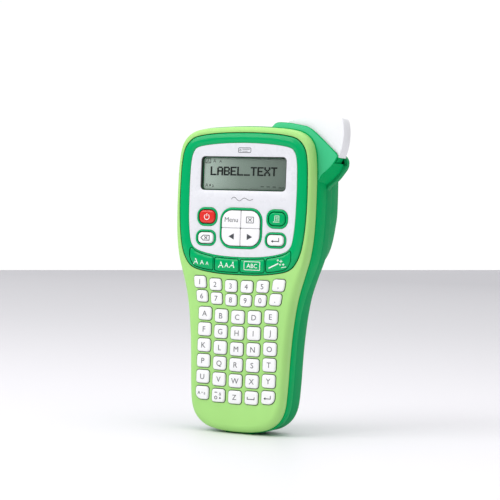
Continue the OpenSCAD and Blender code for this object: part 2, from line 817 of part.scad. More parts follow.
module head_heat_sink() {
  color("#a7abb0") box([7.2, 12.2], [chassis_y + chassis_t + 0.02, 26.4], [142, 155]);
}
module print_head() {
  color("#e2ddc8") {
    box([12.22, 13.1], [9.4, 26], [141.8, 155.2]);
    box([13.1, 13.5], [10.6, 24.6], [147.6, 149.6]);
  }
}

// ---------------------------------------------------------------- tape cassette

module cassette_shape(g) {
  offset(delta = g)
    polygon([[cassette_x[0] + 6, cassette_z[0]], [cassette_x[1] - 2, cassette_z[0]],
             [cassette_x[1], cassette_z[0] + 2], [cassette_x[1], notch_z[0]], [notch_x, notch_z[0]],
             [notch_x, notch_z[1]], [cassette_x[1], notch_z[1]], [cassette_x[1], cassette_z[1]],
             [cassette_x[0] + 3, cassette_z[1]], [cassette_x[0], cassette_z[1] - 3],
             [cassette_x[0], cassette_z[0] + 6]]);
}
module cassette_base() {
  color("#3c4045") {
    slab(cassette_y[0], 17.9)
      difference() {
        cassette_shape(0);
        cassette_shape(-1.3);
      }
    slab(cassette_y[0], cassette_y[0] + 1.3)
      difference() {
        cassette_shape(-0.5);
        translate(spindle_axis) circle(3.4);
      }
    for (p = [tape_axis, supply_axis]) rod(p, cassette_y[0] + 1, 24.6, 2.4);
  }
}
module cassette_lid() {
  color("#dfe2e0") {
    slab(18, cassette_y[1])
      difference() {
        cassette_shape(0);
        cassette_shape(-1.3);
      }
    slab(cassette_y[1] - 1.3, cassette_y[1])
      difference() {
        cassette_shape(-0.5);
        translate(spindle_axis) circle(3.4);
      }
  }
}
module spool(at, r, core, bore) {
  slab(11.4, 24.4)
    translate(at)
      difference() {
        circle(r);
        circle(bore);
      }
  slab(11.1, 11.6)
    translate(at)
      difference() {
        circle(core + 1);
        circle(bore);
      }
}
module tape_spool() { color("#f2f1ea") spool(tape_axis, 15.4, 7, 2.5); }
module ribbon_takeup_spool() { color("#26282b") spool(spindle_axis, 5.9, 4, 3.15); }
module ribbon_supply_spool() { color("#26282b") spool(supply_axis, 6.4, 4, 2.5); }

// ---------------------------------------------------------------- batteries

module battery_cells() {
  for (i = [0:5])
    color("#3b6ea8")
      translate([0, cell_y, cell_z[i]])
        rotate([0, i % 2 == 0 ? 90 : -90, 0]) {
          translate([0, 0, -cell_len / 2]) cylinder(h = cell_len - 0.8, r = cell_d / 2);
          translate([0, 0, cell_len / 2 - 0.9]) cylinder(h = 0.9, r = 2.6);
        }
}
module battery_contacts() {
  color("#c9ccd0")
    for (i = [0:5])
      for (side = [-1, 1]) {
        flat_end = (i % 2 == 0) == (side < 0);
        translate([side * 25.9, cell_y, cell_z[i]]) cube([0.4, 9, 9.6], center = true);
        translate([side * 25.72, cell_y, cell_z[i]])
          rotate([0, -90 * side, 0])
            if (flat_end)
              for (k = [0:3])
                translate([0, 0, 0.3 + 0.85 * k])
                  rotate_extrude() translate([3.6 - 0.35 * k, 0]) circle(0.32, $fn = 16);
            else
              cylinder(h = 3.3, r = 2);
      }
}

front_case();
panel_bezel();
face_plate();
lcd_window();
lcd_gasket();
lcd_module();
lcd_flex();
keypad_mat();
main_board();
board_chips();
power_key();
backspace_key();
menu_key();
clear_key();
cursor_left_key();
cursor_right_key();
print_key();
enter_key();
size_key();
style_key();
frame_key();
deco_key();
digit_keys_upper();
digit_keys_lower();
letter_keys_a_to_e();
letter_keys_f_to_j();
letter_keys_k_to_o();
letter_keys_p_to_t();
letter_keys_u_to_y();
bottom_row_keys();
main_case();
back_cover();
cover_latch();
case_screws();
cutter_lever();
lever_pin();
lever_spring();
blade_holder();
cutter_blade();
cutter_anvil();
mech_chassis();
gear_shafts();
drive_motor();
motor_pinion();
reduction_gear();
transfer_gear();
platen_gear();
platen_roller();
roller_holder();
idler_gear();
ribbon_spindle();
print_head();
head_heat_sink();
cassette_base();
cassette_lid();
tape_spool();
ribbon_takeup_spool();
ribbon_supply_spool();
battery_cells();
battery_contacts();
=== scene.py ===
import json
import math
from collections import namedtuple

import bmesh
import bpy
import numpy as np
from mathutils import Matrix, Vector
from mathutils.geometry import delaunay_2d_cdt

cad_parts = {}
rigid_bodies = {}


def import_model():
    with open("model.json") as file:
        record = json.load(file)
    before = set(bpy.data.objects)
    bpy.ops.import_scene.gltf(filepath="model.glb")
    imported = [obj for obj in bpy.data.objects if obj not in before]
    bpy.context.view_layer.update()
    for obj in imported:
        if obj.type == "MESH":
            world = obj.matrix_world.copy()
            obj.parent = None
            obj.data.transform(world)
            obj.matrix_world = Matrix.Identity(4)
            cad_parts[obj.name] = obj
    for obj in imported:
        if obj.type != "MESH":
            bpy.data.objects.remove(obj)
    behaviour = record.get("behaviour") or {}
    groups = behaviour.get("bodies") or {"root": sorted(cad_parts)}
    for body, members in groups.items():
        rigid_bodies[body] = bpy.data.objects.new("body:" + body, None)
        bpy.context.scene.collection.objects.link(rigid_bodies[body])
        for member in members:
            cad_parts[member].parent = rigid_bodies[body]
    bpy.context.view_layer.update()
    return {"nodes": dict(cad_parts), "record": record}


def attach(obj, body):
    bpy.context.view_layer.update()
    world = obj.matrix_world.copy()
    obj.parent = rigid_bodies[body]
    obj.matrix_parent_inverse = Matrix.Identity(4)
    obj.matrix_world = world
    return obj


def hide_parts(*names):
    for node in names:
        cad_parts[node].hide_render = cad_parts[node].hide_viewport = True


for old in list(bpy.data.objects):
    bpy.data.objects.remove(old, do_unlink=True)
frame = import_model()
MM = 0.001

# ------------------------------------------------------------------ outlines, in millimetres
# right half of each outline, from the lower centre to the upper centre, as (x, z)
CASE = [(0, 1.0), (8, 1.25), (15, 2.1), (21.5, 3.9), (27, 7.6), (30.6, 12.6), (32.6, 19.5),
        (33.6, 32), (34.2, 46), (35, 60), (36.6, 76), (39.0, 90), (42.6, 103), (45.6, 114),
        (47.5, 127), (48.2, 143), (48.2, 160), (47.7, 174), (46.3, 184), (43.2, 190.2),
        (37.5, 194.4), (29, 196.4), (15, 197.4), (0, 197.8)]
BEZEL = [(0, 102.6), (14, 102.9), (28, 104.7), (35.2, 107.4), (39.2, 112.4), (41.7, 118.6),
         (43.2, 126.4), (44.2, 136), (44.7, 148), (44.6, 160), (44.0, 174), (42.2, 183),
         (37.6, 188.8), (31, 191.3), (17.7, 192.9), (0, 193.4)]
PLATE = [(0, 113.6), (15, 114.2), (26, 116), (32.4, 118.3), (35.4, 121.8), (36.8, 128),
         (37.7, 138), (38, 150), (38, 162), (37.4, 175), (35.4, 181.8), (31, 184.6),
         (18, 186.4), (0, 187.1)]
HEAD = [(0, 96), (8, 96), (15, 96.2), (21, 96.7), (26, 97.6), (30, 99), (33.5, 101),
        (36.5, 103.6), (38.9, 106.4), (41, 109.6), (42.7, 113), (44.2, 117), (45.3, 121.4),
        (46.3, 126.6), (47.3, 134), (48.2, 143), (48.2, 160), (47.7, 174), (46.3, 184),
        (43.2, 190.2), (37.5, 194.4), (29, 196.4), (15, 197.4), (0, 197.8)]
# middle height, half width, half height
CASE_SIZE, BEZEL_SIZE = (99.4, 48.2, 98.4), (148, 44.7, 45.4)
PLATE_SIZE, HEAD_SIZE = (150.35, 38, 36.75), (147, 48.4, 51)
EAR = [(10, 190), (15.6, 198.7), (17.6, 200.6), (20.4, 201.2), (27, 200.8), (34.4, 199.6),
       (39, 198.6), (43, 196.4), (48.5, 191.8), (55.6, 185.4), (60.3, 180.6), (59.6, 177.8),
       (57.6, 174.6), (54.2, 170.8), (50.9, 167.7), (46.5, 162), (30, 162)]
EAR_REAR = [(18, 190), (18.6, 200.7), (27, 201), (34.4, 199.8), (43, 196.2), (48.5, 191.8),
            (55.6, 185.2), (60.9, 179.2), (61.7, 175.6), (60.9, 172.6), (58.9, 169.6), (55.4, 165.3),
            (50.6, 161.2), (46, 157.4), (30, 160)]
LEVER = [(24.5, 190.5), (24.5, 200.6), (28, 203), (34, 204.6), (41, 205.6), (49, 205.9),
         (56.6, 205.4), (60.6, 204.6), (62.2, 203), (63.1, 199.8), (63.6, 194.6),
         (63.2, 188.6), (62.2, 184), (61.3, 180.8), (60.9, 179.2), (59.9, 179.3), (59.5, 180.9),
         (59.0, 182.2), (57.2, 182.2), (55.6, 182.4), (50.5, 186.4), (43, 191.4), (34, 189)]
# depths: front faces, then the backs and ledges behind them
FACE_Y, FRONT_REAR_Y, PLATE_Y, KEY_Y, PANEL_KEY_Y = -20.0, -12.0, -20.6, -21.2, -21.5
CASE_BACK_Y, WALL_END_Y, PLATE_BACK_Y, LEDGE_Y, KEY_FOOT_Y = -18.0, -17.9, -19.2, -19.15, -16.2
SHARP = math.radians(32)  # edges below this angle are shaded smooth


def catmull(a, b, c, d, t):
    return 0.5 * (2 * b + (c - a) * t + (2 * a - 5 * b + 4 * c - d) * t * t
                  + (3 * b - a - 3 * c + d) * t * t * t)


def smooth_loop(points, n):
    """Closed smooth curve through the points, n steps between each two."""
    p = np.array(points, float)
    k = len(p)
    out = [catmull(p[i - 1], p[i], p[(i + 1) % k], p[(i + 2) % k], s / n)
           for i in range(k) for s in range(n)]
    return np.array(out)


def closed(half, n=8):
    full = list(half) + [(-x, z) for x, z in half[-2:0:-1]]
    return smooth_loop(full, n)


def grown(loop, size, g):
    g = np.asarray(g, float)
    x = loop[:, 0] * (1 + g / size[1])
    z = size[0] + (loop[:, 1] - size[0]) * (1 + g / size[2])
    return np.stack([x, z], 1)


def offset(loop, g):
    """The loop (anticlockwise) moved outwards by g along its normals."""
    d = np.roll(loop, -1, 0) - np.roll(loop, 1, 0)
    n = np.stack([d[:, 1], -d[:, 0]], 1) / np.maximum(np.linalg.norm(d, axis=1), 1e-9)[:, None]
    return loop + n * np.asarray(g).reshape(-1, 1)


def rect_loop(x0, x1, z0, z1, radii, g=0.0, n=7):
    """Rectangle with its own radius at each corner (upper right, upper left, lower left, lower right)."""
    x0, x1, z0, z1 = x0 - g, x1 + g, z0 - g, z1 + g
    corners = [(x1, z1, -1, -1), (x0, z1, 1, -1), (x0, z0, 1, 1), (x1, z0, -1, 1)]
    out = []
    for q, (cx, cz, sx, sz) in enumerate(corners):
        r = max(radii[q] + g, 0.15)
        for s in range(n):
            a = math.radians(90 * q + 90 * s / (n - 1))
            out.append((cx + sx * r + r * math.cos(a), cz + sz * r + r * math.sin(a)))
    return np.array(out)


def rounded(w, h, r, at, g=0.0, n=9):
    return rect_loop(at[0] - w / 2, at[0] + w / 2, at[1] - h / 2, at[1] + h / 2, (r,) * 4, g, n)


def cap_loop(w, h, lean, r, at, g=0.0, n=6):
    """Keycap outline: a parallelogram whose top edge leans by lean, with rounded corners."""
    loop = rect_loop(-w / 2, w / 2, -h / 2, h / 2, (r,) * 4, g, n)
    loop[:, 0] += lean * loop[:, 1] / h
    return loop + np.array(at)


def inside(poly, pts):
    x, z = pts[:, 0], pts[:, 1]
    a, b = poly, np.roll(poly, -1, 0)
    hit = np.zeros(len(pts), bool)
    for (x0, z0), (x1, z1) in zip(a, b):
        if z0 == z1:
            continue
        cross = ((z0 > z) != (z1 > z)) & (x < (x1 - x0) * (z - z0) / (z1 - z0) + x0)
        hit ^= cross
    return hit


def near_loop(poly, pts, limit):
    """True where a point lies closer than limit to the loop's corners."""
    d = np.full(len(pts), 1e9)
    for p in poly:
        d = np.minimum(d, (pts[:, 0] - p[0]) ** 2 + (pts[:, 1] - p[1]) ** 2)
    return d < limit * limit


# ------------------------------------------------------------------ mesh building

class Shell:
    """Collects points in millimetres and faces, then makes one object in metres."""

    def __init__(self):
        self.v, self.f, self.m = [], [], []

    def ring(self, loop, y):
        y = np.broadcast_to(np.asarray(y, float), (len(loop),))
        start = len(self.v)
        self.v += [(p[0], yy, p[1]) for p, yy in zip(loop, y)]
        return list(range(start, start + len(loop)))

    def bridge(self, a, b, mat=0, wrap=True):
        k = len(a)
        for i in range(k if wrap else k - 1):
            j = (i + 1) % k
            self.f.append((a[i], a[j], b[j], b[i]))
            self.m.append(mat)

    def rings(self, pairs, mat=0):
        """Bridges a list of (loop, y) and returns the rings."""
        made = [self.ring(loop, y) for loop, y in pairs]
        for a, b in zip(made, made[1:]):
            self.bridge(a, b, mat)
        return made

    def cap(self, ring, mat=0):
        self.f.append(tuple(ring))
        self.m.append(mat)

    def opening(self, pairs, depth):
        """Bevelled edge of a hole and its wall down to a depth, the wall in the second material as painted shade;
        returns the first and last ring.
        """
        made = self.rings(pairs)
        deep = self.ring(pairs[-1][0], depth)
        self.bridge(made[-1], deep, 1)
        return made[0], deep

    def solid(self, pairs):
        """Bridges a list of (loop, y) and closes both ends."""
        made = self.rings(pairs)
        self.sheet(made[0])
        self.sheet(made[-1])

    def flat(self, ring):
        return np.array([(self.v[i][0], self.v[i][2]) for i in ring])

    def sheet(self, outer, holes=(), y=None, step=None, mat=0):
        """Fills the space between rings with triangles; y(x, z) shapes the inner points."""
        rings = [outer, *holes]
        ids = [i for r in rings for i in r]
        pts = self.flat(ids)
        edges, base = [], 0
        for r in rings:
            edges += [(base + k, base + (k + 1) % len(r)) for k in range(len(r))]
            base += len(r)
        loops = [self.flat(r) for r in rings]

        def between(points):
            keep = inside(loops[0], points)
            for h in loops[1:]:
                keep &= ~inside(h, points)
            return keep

        if step:
            lo, hi = loops[0].min(0), loops[0].max(0)
            gx, gz = np.meshgrid(np.arange(lo[0] + step / 2, hi[0], step),
                                 np.arange(lo[1] + step / 2, hi[1], step))
            grid = np.stack([gx.ravel(), gz.ravel()], 1)
            grid = grid[between(grid)]
            for h in loops:
                grid = grid[~near_loop(h, grid, step * 0.6)]
            for p in grid:
                ids.append(len(self.v))
                self.v.append((p[0], y(p[0], p[1]), p[1]))
            pts = np.vstack([pts, grid])
        out = delaunay_2d_cdt([Vector(p) for p in pts], edges, [], 0, 1e-6)
        where, tris, source = out[0], out[2], out[3]
        new = []
        for i, w in enumerate(where):
            if source[i]:
                new.append(ids[source[i][0]])
            else:
                new.append(len(self.v))
                self.v.append((w[0], y(w[0], w[1]) if y else self.v[outer[0]][1], w[1]))
        mid = np.array([[sum(where[i][k] for i in t) / 3 for k in (0, 1)] for t in tris])
        for t, ok in zip(tris, between(mid)):
            if ok:
                self.f.append(tuple(new[i] for i in t))
                self.m.append(mat)

    def add(self, verts, faces):
        base = len(self.v)
        self.v += [tuple(p) for p in verts]
        self.f += [tuple(base + i for i in f) for f in faces]
        self.m += [0] * len(faces)

    def build(self, name, mats=(), recalc=True):
        mesh = bpy.data.meshes.new(name)
        mesh.from_pydata([(x * MM, y * MM, z * MM) for x, y, z in self.v], [], self.f)
        for m in mats:
            mesh.materials.append(m)
        mesh.polygons.foreach_set("material_index", self.m)
        bm = bmesh.new()
        bm.from_mesh(mesh)
        bmesh.ops.remove_doubles(bm, verts=bm.verts, dist=2e-7)
        loose = [v for v in bm.verts if not v.link_faces]
        bmesh.ops.delete(bm, geom=loose, context="VERTS")
        if recalc:
            bmesh.ops.recalc_face_normals(bm, faces=bm.faces)
        soften(bm)
        bm.to_mesh(mesh)
        bm.free()
        return linked(name, mesh)


def linked(name, data):
    """A new object in the scene."""
    obj = bpy.data.objects.new(name, data)
    bpy.context.scene.collection.objects.link(obj)
    return obj


def soften(bm):
    for f in bm.faces:
        f.smooth = True
    for e in bm.edges:
        e.smooth = len(e.link_faces) == 2 and e.calc_face_angle(0) < SHARP


def cut(obj, *tools, op="DIFFERENCE"):
    """Exact boolean with each tool in turn; the tools are then removed."""
    for t in tools:
        m = obj.modifiers.new("cut", "BOOLEAN")
        m.operation, m.solver, m.object = op, "EXACT", t
    bpy.context.view_layer.update()
    done = bpy.data.meshes.new_from_object(obj.evaluated_get(bpy.context.evaluated_depsgraph_get()))
    obj.modifiers.clear()
    obj.data = done
    bm = bmesh.new()
    bm.from_mesh(done)
    bmesh.ops.dissolve_degenerate(bm, edges=bm.edges, dist=1e-7)
    soften(bm)
    bm.to_mesh(done)
    bm.free()
    for t in tools:
        bpy.data.objects.remove(t, do_unlink=True)


def block(x, y, z):
    s = Shell()
    loop = np.array([(x[0], z[0]), (x[1], z[0]), (x[1], z[1]), (x[0], z[1])])
    a, b = s.rings([(loop, y[0]), (loop, y[1])])
    s.cap(a)
    s.cap(b)
    return s.build("tool")


def prism(loop, y0, y1, name="tool", mats=()):
    s = Shell()
    s.solid([(loop, y0), (loop, y1)])
    return s.build(name, mats)


def post(x, y, z0, z1, r):
    """Round upright between two heights."""
    s = Shell()
    turn = [math.radians(10 * k) for k in range(36)]
    rows = []
    for z in (z0, z1):
        rows.append(list(range(len(s.v), len(s.v) + 36)))
        s.v += [(x + r * math.cos(a), y + r * math.sin(a), z) for a in turn]
    s.bridge(*rows)
    s.cap(rows[0])
    s.cap(rows[1])
    return s.build("tool")


def put(obj, body, slot, *nodes):
    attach(obj, body)
    if nodes:
        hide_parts(*nodes)


def put_edged(s, name, mat, body, *nodes):
    """Builds a shell and puts it on its body; its second material is the painted shade in its gaps."""
    put(s.build(name, [M[mat], M["shade_green"]]), body, mat, *nodes)


# ------------------------------------------------------------------ materials

def lin(hexa):
    """Linear colour of an sRGB hex string."""
    c = [int(hexa[i:i + 2], 16) / 255 for i in (1, 3, 5)]
    return tuple(x / 12.92 if x <= 0.04045 else ((x + 0.055) / 1.055) ** 2.4 for x in c)


def blank(name):
    m = bpy.data.materials.new(name)
    m.use_nodes = True
    t = m.node_tree
    t.nodes.clear()
    return m, t, t.nodes.new("ShaderNodeOutputMaterial")


def nodes_of(name):
    m, t, out = blank(name)
    b = t.nodes.new("ShaderNodeBsdfPrincipled")
    t.links.new(b.outputs[0], out.inputs[0])
    return m, t, b, t.nodes.new("ShaderNodeTexCoord").outputs["Object"]


def noise(t, coord, scale, detail=3.0, rough=0.5):
    n = t.nodes.new("ShaderNodeTexNoise")
    n.inputs["Scale"].default_value = scale
    n.inputs["Detail"].default_value = detail
    n.inputs["Roughness"].default_value = rough
    t.links.new(coord, n.inputs["Vector"])
    return n.outputs[0]


def remap(t, value, start, end, lo=0.0, hi=1.0, kind="LINEAR"):
    n = t.nodes.new("ShaderNodeMapRange")
    n.interpolation_type = kind
    for socket, x in (("From Min", start), ("From Max", end), ("To Min", lo), ("To Max", hi)):
        n.inputs[socket].default_value = x
    t.links.new(value, n.inputs["Value"])
    return n.outputs[0]


def spread(t, value, lo, hi):
    """Stretches the middle of a noise over the range from lo to hi."""
    return remap(t, value, 0.3, 0.7, lo, hi)


def along(t, coord, way):
    n = t.nodes.new("ShaderNodeVectorMath")
    n.operation = "DOT_PRODUCT"
    n.inputs[1].default_value = way
    t.links.new(coord, n.inputs[0])
    return n.outputs["Value"]


def ramp(t, value, stops):
    n = t.nodes.new("ShaderNodeValToRGB")
    while len(n.color_ramp.elements) < len(stops):
        n.color_ramp.elements.new(0.5)
    for e, (p, c) in zip(n.color_ramp.elements, stops):
        e.position, e.color = p, (*c, 1)
    t.links.new(value, n.inputs[0])
    return n.outputs[0]


def bump(t, b, height, strength, distance):
    n = t.nodes.new("ShaderNodeBump")
    n.inputs["Strength"].default_value = strength
    n.inputs["Distance"].default_value = distance
    t.links.new(height, n.inputs["Height"])
    t.links.new(n.outputs[0], b.inputs["Normal"])


def plastic(name, colour, rough=0.4, grain=2600, depth=0.00003, tint=0.03, coat=0.0, metal=0.0,
            spec=0.5, streak=None):
    """Moulded material: slight colour drift, uneven gloss, and a fine surface grain."""
    m, t, b, coord = nodes_of(name)
    if streak:
        s = t.nodes.new("ShaderNodeMapping")
        s.inputs["Scale"].default_value = streak
        t.links.new(coord, s.inputs[0])
        fine = s.outputs[0]
    else:
        fine = coord
    c = lin(colour) if isinstance(colour, str) else colour
    lo, hi = [tuple(x * k for x in c) for k in (1 - tint, 1 + tint)]
    t.links.new(ramp(t, noise(t, coord, 24), [(0.35, lo), (0.65, hi)]), b.inputs["Base Color"])
    t.links.new(spread(t, noise(t, fine, 140, 4), rough * 0.88, rough * 1.12), b.inputs["Roughness"])
    bump(t, b, noise(t, fine, grain, 2), 0.35, depth)
    b.inputs["Metallic"].default_value = metal
    b.inputs["Specular IOR Level"].default_value = spec
    b.inputs["Coat Weight"].default_value = coat
    b.inputs["Coat Roughness"].default_value = 0.08
    return m


M = {name: plastic(name, *look, **extra) for name, look, extra in (
    ("light_green_shell", ("#a7dd80", 0.42, 2200, 0.00002), {"spec": 0.25}),
    ("green_shell", ("#00ab60", 0.42, 2000, 0.00002), {"spec": 0.02}),
    # painted sheen: the shoulder's front wall, the case's green plastic painted lighter
    ("satin_green", ("#3fc488", 0.5, 2000, 0.00002), {"spec": 0.2}),
    ("green_gloss", ("#00ab64", 0.16, 900, 0.000006), {"coat": 0.1, "spec": 0.12}),
    ("rear_green", ("#129c5c", 0.45, 1800, 0.00003), {"spec": 0.04}),
    ("white_panel", ("#e4e5ea", 0.28, 1500, 0.00001, 0.006), {}),
    ("white_lever", ("#f5f6f9", 0.32, 1500, 0.000008, 0.004), {}),
    ("white_key", ("#f4f4f5", 0.38, 1800, 0.000012, 0.008), {}),
    ("red_key", ("#e0261c", 0.25, 1500, 0.00001), {"coat": 0.3}),
    # painted shade: dark green on the walls of gaps and holes and on key skirts, where shade falls
    ("shade_green", ("#072a17", 0.6, 1800, 0.00002), {"spec": 0.1}),
    ("recess", ("#343b37", 0.5, 1800, 0.00002), {}),
    ("legend", ("#3e4146", 0.55, 2500, 0.000005), {}),
    ("legend_white", ("#f4fbf6", 0.45, 2500, 0.000005, 0.005), {}),
    ("segment", ("#12191d", 0.5, 2500, 0.000004), {}),
)}


def display_material():
    m, t, b, coord = nodes_of("display")
    sep = t.nodes.new("ShaderNodeSeparateXYZ")
    t.links.new(coord, sep.inputs[0])
    half_width = 0.029
    # painted light and shade: the display is lighter at the left and darker to the right
    across = remap(t, sep.outputs["X"], -half_width, half_width)
    t.links.new(ramp(t, across, [(0.0, lin("#f0fbf5")), (0.45, lin("#b4c2ba")), (1.0, lin("#8f9c95"))]),
                b.inputs["Base Color"])
    t.links.new(spread(t, noise(t, coord, 300), 0.3, 0.38), b.inputs["Roughness"])
    bump(t, b, noise(t, coord, 3000), 0.1, 0.00001)
    return m


def window_material():
    """Clear window: a faint gloss over what lies behind it."""
    m, t, out = blank("window")
    mix = t.nodes.new("ShaderNodeMixShader")
    clear = t.nodes.new("ShaderNodeBsdfTransparent")
    gloss = t.nodes.new("ShaderNodeBsdfGlossy")
    fres = t.nodes.new("ShaderNodeFresnel")
    coord = t.nodes.new("ShaderNodeTexCoord").outputs["Object"]
    clear.inputs[0].default_value = (0.96, 0.985, 0.965, 1)
    fres.inputs["IOR"].default_value = 1.4
    t.links.new(spread(t, noise(t, coord, 400), 0.05, 0.09), gloss.inputs["Roughness"])
    t.links.new(fres.outputs[0], mix.inputs[0])
    t.links.new(clear.outputs[0], mix.inputs[1])
    t.links.new(gloss.outputs[0], mix.inputs[2])
    t.links.new(mix.outputs[0], out.inputs[0])
    return m


M["display"] = display_material()
M["window"] = window_material()
# finishes of the inner parts, one for each material slot of the record
INNER = {
    "foam": ("#222624", 0.9, 1200, 0.00008, 0.0), "mat_rubber": ("#7d837f", 0.7, 900, 0.00004, 0.0),
    "dark_rubber": ("#232425", 0.75, 1400, 0.00005, 0.0), "board": ("#1a6b3a", 0.35, 700, 0.00002, 0.0),
    "chip": ("#1c1d20", 0.5, 1600, 0.00002, 0.0), "flex": ("#b9782a", 0.3, 900, 0.00001, 0.0),
    "motor_steel": ("#94989d", 0.38, 500, 0.00002, 1.0),
    "spring_steel": ("#a7abb0", 0.3, 900, 0.00001, 1.0), "brass": ("#c9a552", 0.3, 700, 0.00001, 1.0),
    "gear_plastic": ("#e6e1d2", 0.4, 1300, 0.00002, 0.0),
    "dark_plastic": ("#34373b", 0.42, 1500, 0.00003, 0.0),
    "aluminium": ("#b9bcc0", 0.35, 600, 0.00001, 1.0), "ceramic": ("#ddd6bd", 0.2, 900, 0.00001, 0.0),
    "cassette_clear": ("#d5dad7", 0.3, 1200, 0.00002, 0.0), "tape": ("#efece2", 0.5, 2400, 0.00003, 0.0),
    "ink_ribbon": ("#1d1e21", 0.25, 2400, 0.00002, 0.0), "cell_wrap": ("#2f5fa6", 0.3, 800, 0.00001, 0.0),
}
for key, (tone, rough, grain, depth, metal) in INNER.items():
    M[key] = plastic(key + "_fin", tone, rough, grain, depth, 0.05, metal=metal)
M["steel"] = plastic("steel_fin", "#b4b7bb", 0.32, 400, 0.00001, 0.05, metal=1.0, streak=(1, 1, 12))
for item in frame["record"]["subparts"]:
    node, slot_name = frame["nodes"][item["node"]], item["material_slot"]
    node.data.materials.clear()
    node.data.materials.append(M[slot_name])

# ------------------------------------------------------------------ shared key layout

Row = namedtuple("Row", "name mid_z count pitch w h fan marks")
ROWS = [Row(*values) for values in (
    ("digit_keys_upper", 94.8, 6, 11.14, 8.5, 7.6, 0.42, "12345,"),
    ("digit_keys_lower", 85.9, 6, 10.4, 8.0, 7.4, 0.36, "67890."),
    ("letter_keys_a_to_e", 75.1, 5, 11.7, 9.2, 8.4, 0, "ABCDE"),
    ("letter_keys_f_to_j", 64.9, 5, 11.7, 9.2, 8.4, 0, "FGHIJ"),
    ("letter_keys_k_to_o", 54.6, 5, 11.7, 9.2, 8.4, 0, "KLMNO"),
    ("letter_keys_p_to_t", 44.5, 5, 11.7, 9.2, 8.4, 0, "PQRST"),
    ("letter_keys_u_to_y", 34.2, 5, 11.7, 9.2, 8.4, 0, "UVWXY"),
    ("bottom_row_keys", 23.7, 5, 11.7, 9.2, 8.4, 0, None),
)]


def key_at(row, i):
    x = (i - (row.count - 1) / 2) * row.pitch
    return x, row.mid_z + 1.55 * (x / 25) ** 2, row.fan * x / row.pitch


def key_loop(row, i, g):
    """Outline of a typing key; the two ends of the bottom row have one wide corner each."""
    x, z, lean = key_at(row, i)
    if row.marks is None:
        radii = {0: (1.8, 1.8, 4.2, 1.8), 4: (1.8, 1.8, 1.8, 4.2)}.get(i, (1.8,) * 4)
        return rect_loop(x - row.w / 2, x + row.w / 2, z - row.h / 2, z + row.h / 2, radii, g, 7)
    return cap_loop(row.w, row.h, lean, 1.8, (x, z), g)


bezel, plate, case = closed(BEZEL), closed(PLATE), closed(CASE, 6)
PANEL = {  # panel keys: width, height, corner radius, centre; then the rim's outer width, height, radius
    "power": (11.5, 8.6, 3.4, (-24.3, 139.1), 14.5, 12.0, 5.2),
    "print": (11.5, 8.4, 3.4, (25.2, 138.8), 14.9, 12.2, 5.2),
    "backspace": (11.2, 7.2, 2.8, (-24.8, 125.4), 14.4, 10.2, 4.3),
    "enter": (11.8, 7.0, 2.8, (24.6, 125.2), 14.8, 10.0, 4.3),
    "pad": (26.9, 22.6, 6.8, (0, 132.2), 29.8, 26.2, 8.2),
}
WINDOW = (60.4, 21.9, 2.7, (0, 167.25))
GAP = 0.42
HOT_GAP = 0.45


def lower_edge(loop, x):
    """Height of a loop's lower side at x."""
    low = loop[loop[:, 1] < loop[:, 1].mean()]
    low = low[np.argsort(low[:, 0])]
    return np.interp(x, low[:, 0], low[:, 1])


def hot_loop(i, g=0.0):
    """Outline of one of the four style keys, numbered from the left."""
    pitch, width, height = 18.2, 16.8, 9.6
    x0 = -36.4 + pitch * i + 0.7
    r = {0: (1.2, 2.0, 4.5, 1.2), 3: (2.0, 1.2, 1.2, 4.5)}.get(i, (1.2,) * 4)
    base, flat = (rect_loop(x0, x0 + width, 0, height, r, grow, 7) for grow in (0, g))
    fine = []
    for a, b, p, q in zip(base, np.roll(base, -1, 0), flat, np.roll(flat, -1, 0)):
        k = max(1, int(np.linalg.norm(b - a) / 1.2))
        fine += [p + (q - p) * s / k for s in range(k)]
    flat = np.array(fine)
    xs = np.clip(flat[:, 0], -36, 36)
    zb = lower_edge(bezel, xs) + 1.3
    zt = lower_edge(plate, np.clip(xs, -34.6, 34.6)) - 1.35
    v = flat[:, 1] / height
    return np.stack([flat[:, 0], zb + v * (zt - zb)], 1)


# ------------------------------------------------------------------ front case

def roll_width(loop):
    """Width of the rolled edge: wide round the grip, narrow round the head."""
    t = np.clip((loop[:, 1] - 92) / 22, 0, 1)
    return 4.8 + (2.7 - 4.8) * t * t * (3 - 2 * t)


def front_case():
    s = Shell()
    w = roll_width(case)
    pairs = [(grown(case, CASE_SIZE, -1.6), FRONT_REAR_Y), (grown(case, CASE_SIZE, -0.25), FRONT_REAR_Y),
             (case, FRONT_REAR_Y - 0.25)]
    for k in range(11):
        a = math.radians(9 * k)
        pairs.append((grown(case, CASE_SIZE, -w * (1 - math.cos(a))), FACE_Y + 4.6 * (1 - math.sin(a))))
    outer = s.rings(pairs)[-1]
    holes, inner = [], []
    loops = [(lambda g: grown(bezel, BEZEL_SIZE, g + 0.5))]
    for row in ROWS:
        for i in range(row.count):
            loops.append(lambda g, row=row, i=i: key_loop(row, i, GAP + g))
    for loop in loops:
        top, deep = s.opening([(loop(0.2), FACE_Y), (loop(0.1), FACE_Y + 0.04), (loop(0.03), FACE_Y + 0.14),
                               (loop(0.0), FACE_Y + 0.36)], CASE_BACK_Y)
        holes.append(top)
        inner.append(deep)
    s.sheet(outer, holes)
    back = s.ring(grown(case, CASE_SIZE, -1.6), CASE_BACK_Y)
    s.sheet(back, inner)
    s.bridge(back, list(range(len(case))))
    put_edged(s, "front_case_shell", "light_green_shell", "case", "front_case")


front_case()

# ------------------------------------------------------------------ ring, plate, window


def span(loop, angle):
    """Distance from (0, 150) to the loop along each angle."""
    a = np.arctan2(loop[:, 1] - 150, loop[:, 0])
    r = np.hypot(loop[:, 0], loop[:, 1] - 150)
    k = np.argsort(a)
    return np.interp(angle, a[k], r[k], period=2 * math.pi)


